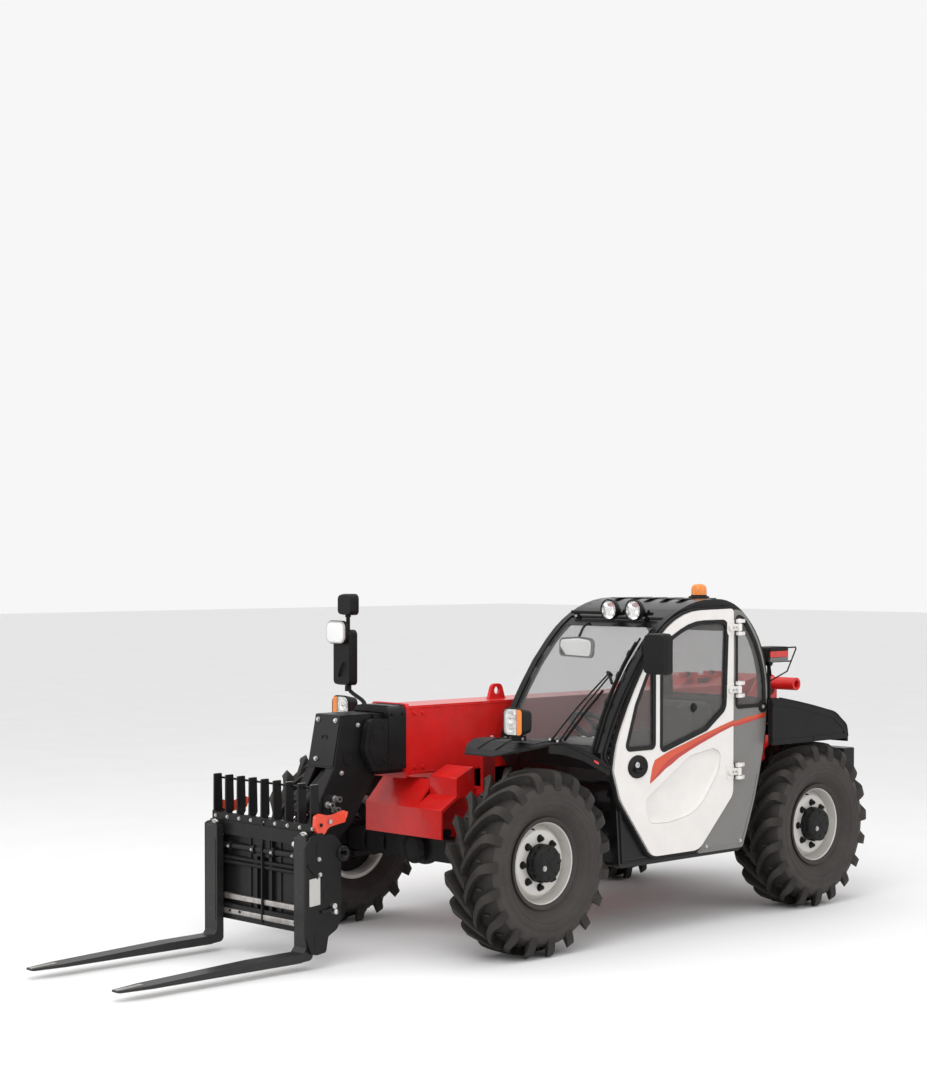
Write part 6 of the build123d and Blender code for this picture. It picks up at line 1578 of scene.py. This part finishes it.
# axles: drive head ribs, cover bolts, tie rods and their joints, trunnion
b = MB()
for wx, d in ((0.0, -1), (-2300.0, 1)):
    for k in range(10):
        t = math.tau * k / 10
        b.hexbolt((wx - d * 92, -40 + 70 * math.cos(t), 462 + 70 * math.sin(t)), (-d, 0, 0), 15, 8, M_AXLE)
    b.lathe([(0, 104), (46, 104), (66, 100), (84, 90), (84, 60)], (wx, -40, 462), (-d, 0, 0), M_AXLE, seg=56, closed=False)
    for s in (1, -1):
        b.cyl((wx, s * 300, 462), (wx, s * 330, 462), 78, M_AXLE, seg=44)
        b.cyl((wx, s * 455, 462), (wx, s * 470, 462), 88, M_AXLE, seg=44)
        for k in range(8):
            t = math.tau * k / 8 + 0.39
            b.hexbolt((wx + 68 * math.cos(t), s * 330, 462 + 68 * math.sin(t)), (0, s, 0), 14, 8, M_AXLE)
        b.cyl((wx, s * 600, 530), (wx, s * 600, 534), 34, M_AXLE, seg=32)
    b.tube([(wx + d * 96, -440, 404), (wx + d * 96, 440, 404)], 17, M_BLACK, seg=20, smooth=0)
    b.tube([(wx + d * 96, -250, 404), (wx + d * 96, 250, 404)], 30, M_BLACK, seg=28, smooth=0)
    for s in (1, -1):
        b.cyl((wx + d * 96, s * 440, 404), (wx + d * 96, s * 452, 404), 24, M_BLACK, seg=24)
        b.box(wx + d * 96 - 26, wx + d * 96 + 26, s * 200 - 14, s * 200 + 14, 404, 440, M_AXLE)
b.make("mesh_axle_parts", "chassis", bevel=1.8, seg=2, slot="axle_black", angle=32)

# ---------------------------------------------------------------- stage
def stage():
    fl = bpy.data.meshes.new("floor")
    s = 60.0
    fl.from_pydata([(-s, -s, 0), (s, -s, 0), (s, s, 0), (-s, s, 0)], [], [(0, 1, 2, 3)])
    o = bpy.data.objects.new("floor", fl)
    COL.objects.link(o)
    m, nt, b, out = new_mat("floor_pale")
    co = coords(nt)
    c = mixc(nt, noise_tex(nt, co, 1.5, 4, 0.6), (0.80, 0.80, 0.80), (0.86, 0.86, 0.86))
    nt.links.new(c, b.inputs["Base Color"])
    b.inputs["Roughness"].default_value = 0.75
    o.data.materials.append(m)
    w = bpy.data.worlds.new("studio")
    w.use_nodes = True
    bpy.context.scene.world = w
    bg = w.node_tree.nodes["Background"]
    bg.inputs[0].default_value = (1.0, 1.0, 1.0, 1)
    bg.inputs[1].default_value = 0.93

    def area(name, loc, tgt, size, power, col=(1, 1, 1)):
        l = bpy.data.lights.new(name, "AREA")
        l.shape = "RECTANGLE"
        l.size, l.size_y = size
        l.energy = power
        l.color = col
        a = bpy.data.objects.new(name, l)
        a.location = loc
        a.rotation_mode = "QUATERNION"
        a.rotation_quaternion = (Vector(tgt) - Vector(loc)).to_track_quat("-Z", "Y")
        COL.objects.link(a)
        return a

    area("key", (5.0, 3.0, 6.5), (0.2, 0, 0.8), (5.0, 5.0), 250)
    area("fill", (6.5, -5.0, 3.5), (0.5, 0, 0.8), (5.0, 4.0), 70)
    area("side", (-1.5, 7.0, 4.0), (-0.5, 0, 0.8), (6.0, 3.0), 90)
    area("top", (-0.5, 0.0, 7.5), (0, 0, 0.6), (7.0, 5.0), 110)
    sc = bpy.context.scene
    sc.view_settings.view_transform = "Standard"
    sc.view_settings.look = "None"
    sc.view_settings.exposure = 0.0


stage()

# ---------------------------------------------------------------- camera
CAM = dict(C=(7.704, 8.286, 2.023), yaw=225.87, pitch=1.588, roll=-0.014, f=2094.0, cx=475.0, cy=617.0)
cam = bpy.data.cameras.new("camera")
camo = bpy.data.objects.new("camera", cam)
COL.objects.link(camo)
ya, pi_ = math.radians(CAM["yaw"]), math.radians(CAM["pitch"])
dirv = Vector((math.cos(ya) * math.cos(pi_), math.sin(ya) * math.cos(pi_), -math.sin(pi_)))
camo.rotation_mode = "QUATERNION"
camo.rotation_quaternion = dirv.to_track_quat("-Z", "Y") @ Quaternion((0, 0, 1), math.radians(-CAM["roll"]))
camo.location = Vector(CAM["C"]) + Vector((-SX / 1000, -SY / 1000, LZ / 1000))
cam.sensor_fit = "AUTO"
cam.sensor_width = 36.0
cam.lens = CAM["f"] / 1080 * 36.0
cam.shift_x = (463.5 - CAM["cx"]) / 1080
cam.shift_y = (CAM["cy"] - 540.0) / 1080
cam.clip_start, cam.clip_end = 0.1, 200
bpy.context.scene.camera = camo
